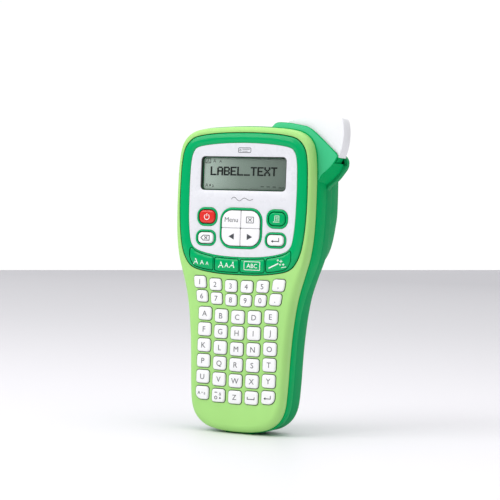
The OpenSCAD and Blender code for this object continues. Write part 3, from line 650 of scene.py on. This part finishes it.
def ring_y(x, z):
    """Crowned front surface between the plate and the outer edge of the ring."""
    a, r = np.arctan2(z - 150, x), np.hypot(x, z - 150)
    lo, hi = span(plate, a), span(bezel, a)
    t = np.clip((r - lo) / (hi - lo), 0, 1)
    return -20.5 - 0.25 * (1 - t) - 0.78 * (1 - np.abs(2 * t - 1) ** 2.2)


def window(g):
    return rounded(*WINDOW, g=g)


def panel_bezel():
    s = Shell()
    face = lambda g: grown(bezel, BEZEL_SIZE, g)
    shift = lambda loop: ring_y(loop[:, 0], loop[:, 1])
    outer = s.rings([(face(0), WALL_END_Y), (face(0), -20.0), (face(-0.06), -20.2), (face(-0.22), -20.38),
                     (face(-0.5), shift(face(-0.5)))])[-1]
    lip = lambda g: grown(plate, PLATE_SIZE, g)
    inner = s.rings([(lip(0.36), shift(lip(0.36))), (lip(0.2), -20.86), (lip(0.06), -20.66),
                     (lip(0), -20.4), (lip(0), LEDGE_Y)])
    holes = [inner[0]]
    ends = []
    for i in range(4):
        top, edge = hot_loop(i, HOT_GAP + 0.1), hot_loop(i, HOT_GAP)
        mid = hot_loop(i, HOT_GAP + 0.03)
        rim, deep = s.opening([(top, shift(top)), (mid, shift(edge) + 0.08), (edge, shift(edge) + 0.32)],
                              WALL_END_Y)
        holes.append(rim)
        ends.append(deep)
    s.sheet(outer, holes, y=lambda x, z: float(ring_y(x, z)), step=1.7)
    # ledge behind the plate, with the raised rims round the panel keys
    keys, rims = [], []
    for w, h, r, at, rw, rh, rr in PANEL.values():
        out = lambda g: rounded(rw, rh, rr, at, g)
        hole = lambda g: rounded(w, h, r, at, g + GAP)
        rim, deep = s.opening([(out(0), LEDGE_Y), (out(0), -20.7), (out(-0.1), -20.95), (out(-0.32), -21.08),
                               (hole(0.34), -21.1), (hole(0.12), -20.98), (hole(0.02), -20.75),
                               (hole(0), -20.4)], WALL_END_Y)
        rims.append(rim)
        keys.append(deep)
    win = s.rings([(window(1.35), LEDGE_Y), (window(1.35), -18.0), (window(-0.6), -18.0), (window(-0.6), -17.0)])
    s.sheet(inner[-1], [*rims, win[0]])
    rear = s.ring(face(0), -17.0)
    s.bridge(list(range(len(bezel))), rear)
    wells = []
    for ring in [*ends, *keys]:
        deep = s.ring(s.flat(ring), -17.0)
        s.bridge(ring, deep)
        wells.append(deep)
    s.sheet(rear, [*wells, win[-1]])
    # the ring's screw bosses and flange stay hidden behind it
    put_edged(s, "panel_ring", "green_gloss", "case", "panel_bezel")


def face_plate():
    s = Shell()
    lip = lambda g: grown(plate, PLATE_SIZE, g)
    outer = s.rings([(lip(-0.12), PLATE_BACK_Y), (lip(-0.12), PLATE_Y + 0.12), (lip(-0.2), PLATE_Y + 0.02),
                     (lip(-0.32), PLATE_Y)])
    tops, lows = [], []
    for *_, at, rw, rh, rr in PANEL.values():
        hole = lambda g: rounded(rw, rh, rr, at, g + 0.15)
        made = s.rings([(hole(0.16), PLATE_Y), (hole(0.04), PLATE_Y + 0.05), (hole(0), PLATE_Y + 0.16),
                        (hole(0), PLATE_BACK_Y)])
        tops.append(made[0])
        lows.append(made[-1])
    made = s.rings([(window(0.3), PLATE_Y), (window(0.1), PLATE_Y + 0.08), (window(0), PLATE_Y + 0.3),
                    (window(0), PLATE_BACK_Y)])
    tops.append(made[0])
    lows.append(made[-1])
    s.sheet(outer[-1], tops)
    s.sheet(outer[0], lows)
    put(s.build("face_plate_sheet", [M["white_panel"]]), "case", "white_panel", "face_plate")


def window_well():
    """Dark frame between the plate and the display."""
    s = Shell()
    s.rings([(window(-0.02), -20.35), (window(-0.3), -20.35), (window(-0.35), -20.25), (window(-0.5), -16.7),
             (window(0.7), -16.7), (window(0.7), WALL_END_Y), (window(-0.02), -18.0), (window(-0.02), -20.35)])
    put(s.build("window_frame", [M["recess"]]), "case", "foam", "lcd_gasket")


panel_bezel()
face_plate()
window_well()
frame["nodes"]["lcd_window"].data.materials.clear()
frame["nodes"]["lcd_window"].data.materials.append(M["window"])

# ------------------------------------------------------------------ lettering and icons

_glyphs = {}


def dense(loop, k):
    """The loop with each long side split into k steps."""
    out = []
    for a, b in zip(loop, np.roll(loop, -1, 0)):
        n = k if np.linalg.norm(b - a) > 1 else 1
        out += [a + (b - a) * i / n for i in range(n)]
    return np.array(out)


def glyphs(text, size):
    """Flat outline of a word, centred on its capitals, as points and faces."""
    if (text, size) not in _glyphs:
        curve = bpy.data.curves.new("word", "FONT")
        curve.body, curve.size = text, size
        curve.align_x = "CENTER"
        curve.resolution_u = 3
        obj = linked("word", curve)
        mesh = bpy.data.meshes.new_from_object(obj.evaluated_get(bpy.context.evaluated_depsgraph_get()))
        pts = np.array([v.co[:2] for v in mesh.vertices]).reshape(-1, 2)
        faces = [tuple(p.vertices) for p in mesh.polygons]
        bpy.data.objects.remove(obj, do_unlink=True)
        bpy.data.curves.remove(curve)
        bpy.data.meshes.remove(mesh)
        _glyphs[(text, size)] = (pts, faces)
    return _glyphs[(text, size)]


class Print:
    """Thin raised printing on a surface; y(x, z) is the surface it lies on."""

    def __init__(self, y, lift=0.03):
        self.s = Shell()
        self.y = y if callable(y) else (lambda x, z: y)
        self.lift = lift

    def faces(self, pts, faces):
        self.s.add([(x, self.y(x, z) - self.lift, z) for x, z in pts], faces)

    def word(self, text, size, at, lean=0.0):
        pts, faces = glyphs(text, size)
        if not len(pts):
            return
        cap = glyphs("H", size)[0]
        mid = (cap[:, 1].max() + cap[:, 1].min()) / 2
        p = pts - np.array([(pts[:, 0].max() + pts[:, 0].min()) / 2, mid])
        p = np.stack([p[:, 0] + lean * p[:, 1], p[:, 1]], 1) + np.array(at)
        self.faces(p, faces)

    def poly(self, pts):
        self.faces(pts, [tuple(range(len(pts)))])

    def line(self, pts, w, closed_path=False):
        """Stroke of width w along the points."""
        p = [np.array(q, float) for q in pts]
        pairs = list(zip(p, p[1:])) + ([(p[-1], p[0])] if closed_path else [])
        for a, b in pairs:
            d = b - a
            size = max(np.linalg.norm(d), 1e-9)
            n = np.array([-d[1], d[0]]) / size * w / 2
            e = d / size * w * 0.35
            k = max(1, int(size / 0.8))
            spine = [a - e + (d + 2 * e) * i / k for i in range(k + 1)]
            self.faces([q - n for q in spine] + [q + n for q in spine],
                       [(i, i + 1, k + 2 + i, k + 1 + i) for i in range(k)])

    def ring(self, at, r, w, a0=0, a1=360, n=28):
        k = [math.radians(a0 + (a1 - a0) * i / n) for i in range(n + 1)]
        pts = [(at[0] + q * math.cos(a), at[1] + q * math.sin(a)) for q in (r - w / 2, r + w / 2) for a in k]
        self.faces(pts, [(i, i + 1, n + 2 + i, n + 1 + i) for i in range(n)])

    def frame(self, w, h, r, at, t):
        a, b = dense(rounded(w, h, r, at), 12), dense(rounded(w, h, r, at, -t), 12)
        k = len(a)
        self.faces(np.vstack([a, b]), [(i, (i + 1) % k, k + (i + 1) % k, k + i) for i in range(k)])

    def done(self, name, mat, body, slot):
        obj = self.s.build(name, [M[mat]], recalc=False)
        bm = bmesh.new()
        bm.from_mesh(obj.data)
        for f in bm.faces:
            if f.normal.y > 0:
                f.normal_flip()
        bm.to_mesh(obj.data)
        bm.free()
        put(obj, body, slot)


# ------------------------------------------------------------------ keys

def keycap(s, loop, top, edge, side=0.12):
    """A cap whose outline is loop(g): straight skirt, rounded shoulder and softly crowned top."""
    drop = edge * 0.95
    deep = FACE_Y + 0.02 if top == KEY_Y else top + drop + 0.02
    # the skirt takes the second material: painted shade in the gap round the cap
    skirt = s.rings([(loop(0.0), KEY_FOOT_Y), (loop(0.0), deep)], 1)
    steps = [(0.0, deep), (0.0, top + drop)]
    for k in range(1, 7):
        a = math.radians(15 * k)
        steps.append((-side - edge * (1 - math.cos(a)), top + drop * (1 - math.sin(a)) + 0.03))
    made = s.rings([(loop(g), y) for g, y in steps])
    centre = loop(0).mean(0)
    last = loop(steps[-1][0])
    for k, y in ((0.66, top + 0.012), (0.33, top)):
        ring = s.ring(centre + (last - centre) * k, y)
        s.bridge(made[-1], ring)
        made.append(ring)
    s.cap(made[-1])
    s.cap(skirt[0], 1)


def typing_rows():
    for row in ROWS:
        s = Shell()
        ink = Print(KEY_Y)
        for i in range(row.count):
            x, z, _ = key_at(row, i)
            keycap(s, lambda g, i=i: key_loop(row, i, g), KEY_Y, edge=0.8)
            if row.marks:
                mark = row.marks[i]
                size = 5.0 if row.w > 9 else 4.8
                ink.word(mark, size, (x, z + (0 if mark.isalnum() else -0.2)))
        if row.marks is None:
            bottom_legends(ink, row)
        put_edged(s, row.name + "_caps", "white_key", row.name + "_body", row.name)
        ink.done(row.name + "_legends", "legend", row.name + "_body", "white_key")


def bottom_legends(ink, row):
    at = [key_at(row, i)[:2] for i in range(5)]
    x, z = at[0]
    ink.word("A", 3.0, (x - 1.9, z))
    ink.poly([(x - 0.2, z + 0.5), (x + 0.8, z + 0.5), (x + 0.3, z - 0.4)])
    ink.word("a", 3.0, (x + 2.1, z))
    x, z = at[1]
    ink.line([(x - 2.2, z + 2.0), (x - 0.6, z + 2.0)], 0.5)
    ink.ring((x - 1.4, z - 1.4), 0.9, 0.45)
    ink.word("&", 2.8, (x + 1.6, z + 1.1))
    ink.poly([(x + 0.8, z - 2.0), (x + 2.4, z - 2.0), (x + 1.6, z - 0.6)])
    x, z = at[2]
    ink.word("Z", 4.7, (x, z))
    x, z = at[3]
    ink.line([(x - 2.4, z + 0.5), (x - 2.4, z - 0.8), (x + 2.4, z - 0.8), (x + 2.4, z + 0.5)], 0.5)
    x, z = at[4]
    ink.line([(x + 2.0, z + 1.3), (x + 2.0, z - 0.6), (x - 1.8, z - 0.6)], 0.5)
    ink.poly([(x - 2.7, z - 0.6), (x - 1.4, z + 0.3), (x - 1.4, z - 1.5)])


def round_panel_key(key, mat, ink_mat, draw):
    w, h, r, at = PANEL[key][:4]
    s = Shell()
    loop = lambda g: rounded(w, h, r, at, g)
    keycap(s, loop, PANEL_KEY_Y, edge=1.1, side=0.1)
    body = key + "_key_body"
    put_edged(s, key + "_cap", mat, body, key + "_key")
    ink = Print(PANEL_KEY_Y)
    draw(ink, at)
    ink.done(key + "_icon", ink_mat, body, mat)


def power_icon(ink, at):
    ink.ring((at[0], at[1] - 0.2), 1.75, 0.42, 125, 415)
    ink.line([(at[0], at[1] + 0.3), (at[0], at[1] + 1.9)], 0.42)


def print_icon(ink, at):
    x, z = at
    ink.line([(x - 1.3, z - 1.2), (x - 1.3, z + 2.0), (x + 1.6, z + 2.0), (x + 1.6, z - 1.2)], 0.32)
    ink.line([(x - 2.3, z - 1.9), (x + 1.9, z - 1.9)], 0.32)
    for k in range(3):
        ink.line([(x - 0.5, z + 1.1 - 0.9 * k), (x + 0.8, z + 1.1 - 0.9 * k)], 0.26)


def backspace_icon(ink, at):
    x, z = at
    ink.line([(x - 3.2, z), (x - 1.6, z + 1.6), (x + 2.8, z + 1.6), (x + 2.8, z - 1.6), (x - 1.6, z - 1.6)],
             0.5, True)
    ink.line([(x - 0.6, z + 0.8), (x + 1.3, z - 0.8)], 0.5)
    ink.line([(x - 0.6, z - 0.8), (x + 1.3, z + 0.8)], 0.5)


def enter_icon(ink, at):
    x, z = at
    ink.line([(x + 2.6, z + 1.5), (x + 2.6, z - 0.6), (x - 1.6, z - 0.6)], 0.55)
    ink.poly([(x - 2.8, z - 0.6), (x - 1.3, z + 0.35), (x - 1.3, z - 1.55)])


def pad_keys():
    w, h, r, (cx, cz) = PANEL["pad"][:4]
    for name, sx, sz in (("menu", -1, 1), ("clear", 1, 1), ("cursor_left", -1, -1), ("cursor_right", 1, -1)):
        x = sorted((cx + sx * 0.1, cx + sx * w / 2))
        z = sorted((cz + sz * 0.1, cz + sz * h / 2))
        radii = [0.6] * 4
        radii[{(1, 1): 0, (-1, 1): 1, (-1, -1): 2, (1, -1): 3}[(sx, sz)]] = r
        loop = lambda g, x=x, z=z, radii=radii: rect_loop(x[0], x[1], z[0], z[1], radii, g, 9)
        s = Shell()
        keycap(s, loop, PANEL_KEY_Y, edge=0.55, side=0.04)
        body = name + "_key_body"
        put_edged(s, name + "_cap", "white_key", body, name + "_key")
        ink = Print(PANEL_KEY_Y)
        if name == "menu":
            ink.word("Menu", 4.4, (cx - 6.6, cz + 5.4))
        elif name == "clear":
            ink.frame(5.4, 4.2, 0.5, (cx + 6.6, cz + 5.5), 0.45)
            ink.line([(cx + 5.5, cz + 6.5), (cx + 7.7, cz + 4.5)], 0.45)
            ink.line([(cx + 5.5, cz + 4.5), (cx + 7.7, cz + 6.5)], 0.45)
        else:
            tip = cx + sx * (8.6 if sx > 0 else 8.2)
            ink.poly([(tip, cz - 5.4), (tip - sx * 3.8, cz - 3.4), (tip - sx * 3.8, cz - 7.4)])
        ink.done(name + "_icon", "legend", body, "white_key")


def hot_keys():
    y = lambda x, z: float(ring_y(x, z)) + 0.03
    shift = lambda loop: ring_y(loop[:, 0], loop[:, 1]) + 0.03
    for i, name in enumerate(("size", "style", "frame", "deco")):
        s = Shell()
        side, top = hot_loop(i, 0), hot_loop(i, -0.55)
        front = shift(side)
        # the foot takes the second material: painted shade in the gap round the key
        foot = s.rings([(side, KEY_FOOT_Y), (side, front + 0.44)], 1)
        made = s.rings([(side, front + 0.44), (hot_loop(i, -0.08), front + 0.18),
                        (hot_loop(i, -0.26), front + 0.05), (top, shift(top))])
        s.cap(foot[0], 1)
        s.sheet(made[-1], y=y, step=1.5)
        body = name + "_key_body"
        put_edged(s, name + "_cap", "green_gloss", body, name + "_key")
        ink = Print(y, 0.05)
        x = [-26.9, -9.0, 9.1, 26.7][i]
        z = [109.9, 108.4, 108.4, 109.7][i]
        if i == 0:
            ink.word("A", 5.6, (x - 4.4, z + 0.1))
            ink.word("A", 4.2, (x + 0.2, z - 0.5))
            ink.word("A", 3.1, (x + 4.0, z - 1.0))
        elif i == 1:
            ink.word("A", 5.8, (x - 4.0, z))
            ink.word("A", 4.4, (x + 0.1, z - 0.2))
            ink.word("A", 5.8, (x + 4.2, z + 0.2), lean=0.25)
        elif i == 2:
            ink.frame(11.4, 5.6, 0.5, (x, z), 0.35)
            ink.word("ABC", 3.9, (x, z))
        else:
            ink.line([(x - 5.6, z - 2.2), (x + 0.6, z + 0.9)], 0.7)
            for sx, sz, q in ((2.6, 2.4, 0.9), (4.2, 0.4, 0.7), (0.4, 3.0, 0.6), (2.0, 0.2, 0.5)):
                ink.line([(x + sx - q, z + sz), (x + sx + q, z + sz)], 0.34)
                ink.line([(x + sx, z + sz - q), (x + sx, z + sz + q)], 0.34)
            ink.line([(x + 3.0, z - 1.6), (x + 6.0, z - 1.0)], 0.34)
        ink.done(name + "_icon", "legend_white", body, "green_gloss")


typing_rows()
round_panel_key("power", "red_key", "legend_white", power_icon)
round_panel_key("print", "green_gloss", "legend_white", print_icon)
round_panel_key("backspace", "white_key", "legend", backspace_icon)
round_panel_key("enter", "white_key", "legend", enter_icon)
pad_keys()
hot_keys()

# ------------------------------------------------------------------ display

DOTS = {  # 5 by 7 dots, row by row
    "L": "1.... 1.... 1.... 1.... 1.... 1.... 11111",
    "A": ".111. 1...1 1...1 11111 1...1 1...1 1...1",
    "B": "1111. 1...1 1...1 1111. 1...1 1...1 1111.",
    "E": "11111 1.... 1.... 1111. 1.... 1.... 11111",
    "T": "11111 ..1.. ..1.. ..1.. ..1.. ..1.. ..1..",
    "X": "1...1 1...1 .1.1. ..1.. .1.1. 1...1 1...1",
    "_": "..... ..... ..... ..... ..... ..... 11111",
}


def display():
    s = Shell()
    at = WINDOW[3]
    face = -17.72
    body, glass = rounded(66, 27.4, 1.2, at), rounded(58.6, 20.2, 1.2, at)
    made = s.rings([(body, -14.6), (body, -16.6), (glass, -16.6), (glass, face + 0.1),
                    (rounded(58.6, 20.2, 1.2, at, -0.1), face)])
    s.cap(made[0])
    s.cap(made[-1])
    put(s.build("display_glass", [M["display"]]), "case", "display", "lcd_module")
    ink = Print(face, 0.02)
    dot, x0, z0 = 0.79, -24.7, 170.8
    for k, letter in enumerate("LABEL_TEXT"):
        for row, cells in enumerate(DOTS[letter].split()):
            for col, on in enumerate(cells):
                if on == "1":
                    x, z = x0 + k * 6.05 * dot + col * dot, z0 - row * dot
                    ink.poly([(x, z), (x + 1.6 * dot, z), (x + 1.6 * dot, z + 1.25 * dot), (x, z + 1.25 * dot)])
    ink.frame(4.0, 3.2, 0.3, (-26.6, 175.4), 0.4)
    ink.word("A", 3.0, (-26.6, 175.4))
    ink.word("A", 3.0, (-21.9, 175.4))
    ink.word("A", 2.5, (-17.6, 175.2))
    ink.word("A", 3.3, (-27.0, 159.6))
    ink.poly([(-25.2, 159.0), (-24.2, 159.0), (-24.2, 160.2), (-25.2, 160.2)])
    ink.word("a", 3.3, (-22.6, 159.6))
    for k in range(3):
        ink.line([(11.6 + 4.2 * k, 159.2), (13.6 + 4.2 * k, 159.2)], 0.5)
    ink.word("mm", 2.7, (26.2, 158.9))
    ink.done("display_segments", "segment", "case", "display")


display()


def panel_marks():
    """Plain marks in place of names: a tag outline above and a flourish below the window."""
    ink = Print(PLATE_Y)
    ink.frame(9.2, 3.4, 0.9, (0.6, 182.3), 0.4)
    ink.ring((-2.4, 182.3), 0.55, 0.3)
    ink.line([(-0.9, 182.9), (4.0, 182.9)], 0.3)
    ink.line([(-0.9, 181.7), (2.6, 181.7)], 0.3)
    pts = [(-7.5 + 15 * k / 40, 150.8 + 1.4 * math.sin(k / 40 * 4 * math.pi) * (1 - k / 55)) for k in range(41)]
    ink.line(pts, 0.34)
    ink.done("panel_marks", "legend", "case", "white_panel")


panel_marks()

# ------------------------------------------------------------------ main case, rear cover


def parting(z):
    """Depth of the line between the main case and the rear cover at a height."""
    return np.interp(z, [78, 112], [-4.0, 2.3])


def main_case_skin():
    s = Shell()
    loop = closed(CASE, 8)
    end = parting(loop[:, 1])
    g = lambda d: grown(loop, CASE_SIZE, 0.64 + d)
    inner = g(-1.6)
    s.rings([(inner, -11.98), (g(-0.28), FRONT_REAR_Y), (g(-0.08), FRONT_REAR_Y + 0.08),
             (g(0), FRONT_REAR_Y + 0.3), (g(0), end - 0.5), (g(-0.1), end - 0.24), (g(-0.3), end - 0.1),
             (inner, end - 0.1), (inner, -11.98)])
    band = s.build("main_case_band", [M["green_shell"]])
    space = [(17.4, 163), (44.5, 163), (44.5, 168), (50, 168), (50, 182), (54, 182), (54, 178.4), (80, 178.4),
             (80, 215), (17.4, 215)]
    cut(band, prism(np.array(space, float), -9.0, 4.2))
    put(band, "case", "green_shell")


def shoulder():
    """Front wall, side wall and recessed rim of the shoulder that carries the lever."""
    ear, edge = smooth_loop(EAR[::-1], 6), closed(CASE, 8)

    def slope(x, z):
        d = np.sqrt(((edge - (x, z)) ** 2).sum(1).min()) * (0 if inside(edge, np.array([[x, z]]))[0] else 1)
        return min(-11.9 + 0.2 * d, -10.3)

    front = lambda loop: np.array([slope(*p) for p in loop])
    s = Shell()
    rings = s.rings([(ear, -9.02), (ear, front(ear) + 0.5), (offset(ear, -0.12), front(ear) + 0.2)], 1)
    soft = s.rings([(offset(ear, -0.4), front(ear) + 0.03), (offset(ear, -0.9), front(offset(ear, -0.9)))])
    s.bridge(rings[-1], soft[0], 1)
    s.sheet(rings[0], mat=1)
    s.sheet(soft[-1], y=slope, step=2.2)
    # the front wall is the case's green painted lighter as a sheen; its edges are green_shell
    put(s.build("shoulder_wall", [M["satin_green"], M["green_shell"]]), "case", "green_shell")
    low = [p for p in ear if p[0] > 46 and 161 < p[1] < 176]
    low = sorted(low, key=lambda p: -p[1])
    side = [(np.interp(175.3, [low[1][1], low[0][1]], [low[1][0], low[0][0]]), 175.3)] + low[1:]
    rear = [(60.1, 175.3), (58.9, 172.2), (57.0, 169.4), (53.4, 165.7), (49.4, 162.4), (46.0, 159.4)]
    strip("shoulder_side", side, -9.05, rear, 2.2, 1.9)
    rim = [(59.75, 180), (59.45, 178.4), (58.2, 176), (56.9, 174)]
    strip("shoulder_rim", rim, -6.3, rim, 2.75, 1.1)
    low_rim = [(57.95, 178.4), (57.4, 177.2), (56.7, 176), (55.4, 174)]
    strip("shoulder_rim_end", low_rim, 2.5, low_rim, 4.3, 0.9)


def strip(name, a, ya, b, yb, thick):
    """Curved wall between line a at depth ya and line b at depth yb, its outer side on the lines."""
    steps = np.linspace(0, 1, 25)
    la, lb = (np.array([resample(pts, u) for u in steps]) for pts in (a, b))
    back = offset_open(la, -thick)
    s = Shell()
    rows = [s.ring(la, ya), s.ring(lb, yb - 0.25), s.ring(offset_open(lb, -0.25), yb), s.ring(back, yb),
            s.ring(back, ya)]
    for p, q in zip(rows, rows[1:] + rows[:1]):
        s.bridge(p, q, wrap=False)
    for k in (0, -1):
        s.f.append(tuple(r[k] for r in rows))
        s.m.append(0)
    put(s.build(name, [M["green_shell"]]), "case", "green_shell")


def resample(pts, u):
    """Point at share u of a smooth open line through the points."""
    p = np.array(pts, float)
    k = min(int(u * (len(p) - 1)), len(p) - 2)
    t = u * (len(p) - 1) - k
    before = p[k - 1] if k else 2 * p[0] - p[1]
    after = p[k + 2] if k + 2 < len(p) else 2 * p[-1] - p[-2]
    return catmull(before, p[k], p[k + 1], after, t)


def offset_open(line, g):
    """An open line, running down the right-hand side, moved outwards by g."""
    d = np.gradient(line, axis=0)
    n = np.stack([-d[:, 1], d[:, 0]], 1) / np.linalg.norm(d, axis=1)[:, None]
    return line + n * g


main_case_skin()
shoulder()


def mixed(loop, grip, head):
    """Growth that changes from the grip's value to the head's along the length."""
    t = np.clip((loop[:, 1] - 84) / 36, 0, 1)
    t = t * t * (3 - 2 * t)
    return grown(loop, CASE_SIZE, grip + (head - grip) * t)


def bay(loop, g, lift):
    out = grown(loop, HEAD_SIZE, g)
    out[:, 1] += lift * (1 - np.clip((out[:, 1] - 96) / 50, 0, 1))
    return out


def rear_solid(t, name):
    s = Shell()
    loop, head = closed(CASE, 6), closed(HEAD, 6)
    front = parting(loop[:, 1]) + 0.12 if t == 0 else np.full(len(loop), -9.0)
    pairs = []
    if t == 0:
        pairs += [(mixed(loop, 0.28, 0.28), front + 0.06), (mixed(loop, 0.5, 0.5), front + 0.2),
                  (mixed(loop, 0.6, 0.6), front + 0.45)]
    else:
        pairs.append((mixed(loop, 0.6 - t, 0.6 - t), -9.0))
    for k in range(9):
        a = math.radians(90 * k / 8)
        pairs.append((mixed(loop, 0.6 - t - 5.2 * (1 - math.cos(a)), 0.6 - t - 0.6 * (1 - math.cos(a))),
                      5.5 + (13 - t - 5.5) * math.sin(a)))
    pairs.append((bay(head, 0.0 - t, 0), 13.4 - t))
    for k in range(1, 6):
        u = k / 5
        pairs.append((bay(head, -t - 1.6 * u ** 1.6, 4 * u), 13.4 - t + (26.4 - 13.4) * u))
    for k in range(1, 8):
        a = math.radians(90 * k / 7)
        pairs.append((bay(head, -t - 1.6 - 11.4 * (1 - math.cos(a)), 4 + k),
                      26.4 - t + 10.1 * math.sin(a)))
    s.solid(pairs)
    return s.build(name, [M["rear_green"]])


def ear_bulge(t, name):
    s = Shell()
    ear = offset(smooth_loop(EAR_REAR[::-1], 5), -t)
    mid = np.array([28.0, 175.0])
    ang = np.arctan2(ear[:, 1] - mid[1], ear[:, 0] - mid[0])
    small = np.stack([mid[0] + (15 - t) * np.cos(ang), mid[1] + (15 - t) * np.sin(ang)], 1)
    pairs = []
    if t == 0:
        pairs += [(offset(ear, -0.5), 2.5), (offset(ear, -0.15), 2.64), (ear, 2.95)]
    else:
        pairs.append((ear, 3.0))
    for k in range(7):
        u = k / 6
        w = u * u * (3 - 2 * u)
        pairs.append((ear + (small - ear) * w, 8 + (22 - t - 8) * u))
    s.solid(pairs)
    return s.build(name, [M["rear_green"]])


def rear_cover():
    cover = rear_solid(0, "rear_cover_shell")
    cut(cover, ear_bulge(0, "bulge"), op="UNION")
    hollow = rear_solid(2.0, "hollow")
    cut(hollow, ear_bulge(2.0, "bulge"), op="UNION")
    space = np.array([(17, 163), (45.5, 163), (49.5, 166.6), (54, 171.4), (54, 178.4), (56, 178.4), (58, 174.5),
                      (80, 174.5), (80, 215), (17, 215)], float)
    cut(cover, hollow, prism(space, -12, 4.1), block((-9.7, 9.7), (-13, 9.3), (-2, 2.7)),
        block((12.6, 15.6), (11, 26), (184, 206)), block((-19.3, -8.7), (13.7, 21.3), (184, 206)))
    put(cover, "rear_cover", "rear_green", "back_cover")


rear_cover()


def lever():
    outer = smooth_loop(LEVER[::-1], 3)
    s = Shell()
    turn, soft = [math.radians(18 * k) for k in range(6)], 0.36
    s.solid([(offset(outer, -soft * (1 - math.sin(a))), -8 + soft * (1 - math.cos(a))) for a in turn]
            + [(offset(outer, -soft * (1 - math.cos(a))), 3.6 - soft * (1 - math.sin(a))) for a in turn])
    cap = s.build("cutter_lever_cap", [M["white_lever"]])
    inside_walls = [(26.2, 150), (60.1, 150), (60.1, 179.2), (60.5, 180.8), (61.3, 184), (62.2, 188.6),
                    (62.5, 194.6), (62.0, 199.4), (61.2, 202.3), (60, 203.2), (56.2, 204.0), (49, 204.5),
                    (41, 204.2), (34, 203.2), (28.6, 201.7), (26.2, 199.8)]
    cut(cap, prism(np.array(inside_walls, float), -6.5, 2.9))
    put(cap, "lever", "white_panel", "cutter_lever")
    # pivot, arm and finger inside the case
    outline = np.array([(20.9, 168.5), (22.9, 168.5), (24, 190), (27, 192), (48, 198), (46, 204), (28, 201.6),
                        (20.5, 198.2), (19.4, 191.5)], float)
    arm = prism(outline, -3.5, 1.5, "cutter_lever_arm", [M["white_lever"]])
    pin = (22, 194.5)
    cut(arm, prism(rounded(8, 8, 3.99, pin), -7.9, 3.5), prism(rounded(3, 3, 1.49, (22, 168)), -3.45, 1.45),
        block((42.2, 45), (-2.6, 0.6), (186.9, 200)), post(43.6, -1, 185.8, 187.2, 3.3), op="UNION")
    cut(arm, prism(rounded(3.1, 3.1, 1.54, pin), -9, 5))
    put(arm, "lever", "white_panel")


lever()

# ------------------------------------------------------------------ stage, light, camera


def studio():
    m, t, b, coord = nodes_of("floor")
    # painted light: the floor is lighter near the camera and darker far off
    depth = remap(t, along(t, coord, (-0.4226, 0.9063, 0)), -0.2, 5.0)
    t.links.new(ramp(t, depth, [(0.0, lin("#e9e7ec")), (0.3, lin("#dcdbe0")), (1.0, lin("#c6c5cb"))]),
                b.inputs["Base Color"])
    b.inputs["Roughness"].default_value = 0.5
    b.inputs["Specular IOR Level"].default_value = 0.3
    mesh = bpy.data.meshes.new("floor")
    mesh.from_pydata([(-2.477, -3, 0), (8, -3, 0), (8, 16, 0), (-2.99, 16, 0)], [], [(0, 1, 2, 3)])
    mesh.materials.append(m)
    floor = linked("floor", mesh)
    world = bpy.data.worlds.new("studio")
    bpy.context.scene.world = world
    world.use_nodes = True
    t = world.node_tree
    bg = t.nodes["Background"]
    bg.inputs[0].default_value = (1, 1, 1, 1)
    coord = t.nodes.new("ShaderNodeTexCoord").outputs["Generated"]
    glow = []
    for toward, start, end, bright in (((-0.42, 0.906, 0), 0.8, 0.97, 1.02), ((0, 0, 1), 0.1, 0.7, 1.05)):
        glow.append(remap(t, along(t, coord, toward), start, end, 0.22, bright, "SMOOTHSTEP"))
    top = t.nodes.new("ShaderNodeMath")
    top.operation = "MAXIMUM"
    t.links.new(glow[0], top.inputs[0])
    t.links.new(glow[1], top.inputs[1])
    t.links.new(top.outputs[0], bg.inputs[1])
    for name, place, size, power in (("key", (-0.7, -1.1, 1.0), 0.9, 10.8), ("top", (0.15, 0.0, 1.25), 0.8, 3.0)):
        data = bpy.data.lights.new(name, "AREA")
        data.shape, data.size, data.energy = "SQUARE", size, power
        lamp = linked(name, data)
        lamp.location = place
        lamp.rotation_euler = (Vector((0, 0, 0.11)) - Vector(place)).to_track_quat("-Z", "Y").to_euler()


def camera():
    data = bpy.data.cameras.new("camera")
    data.sensor_width, data.lens = 36, 115.83
    data.clip_start, data.clip_end = 0.05, 60
    cam = linked("camera", data)
    turn, tip, lean = math.radians(25), math.radians(0.227), math.radians(2.165)
    ahead = Vector((-math.sin(turn) * math.cos(tip), math.cos(turn) * math.cos(tip), -math.sin(tip)))
    side = Vector((math.cos(turn), math.sin(turn), 0))
    up = side.cross(ahead)
    right = side * math.cos(lean) + up * math.sin(lean)
    top = up * math.cos(lean) - side * math.sin(lean)
    m = Matrix((right, top, -ahead)).transposed().to_4x4()
    m.translation = Vector((0.4418, -0.9530, 0.1226))
    cam.matrix_world = m
    bpy.context.scene.camera = cam


studio()
camera()
bpy.context.scene.view_settings.view_transform = "Standard"
bpy.context.view_layer.update()
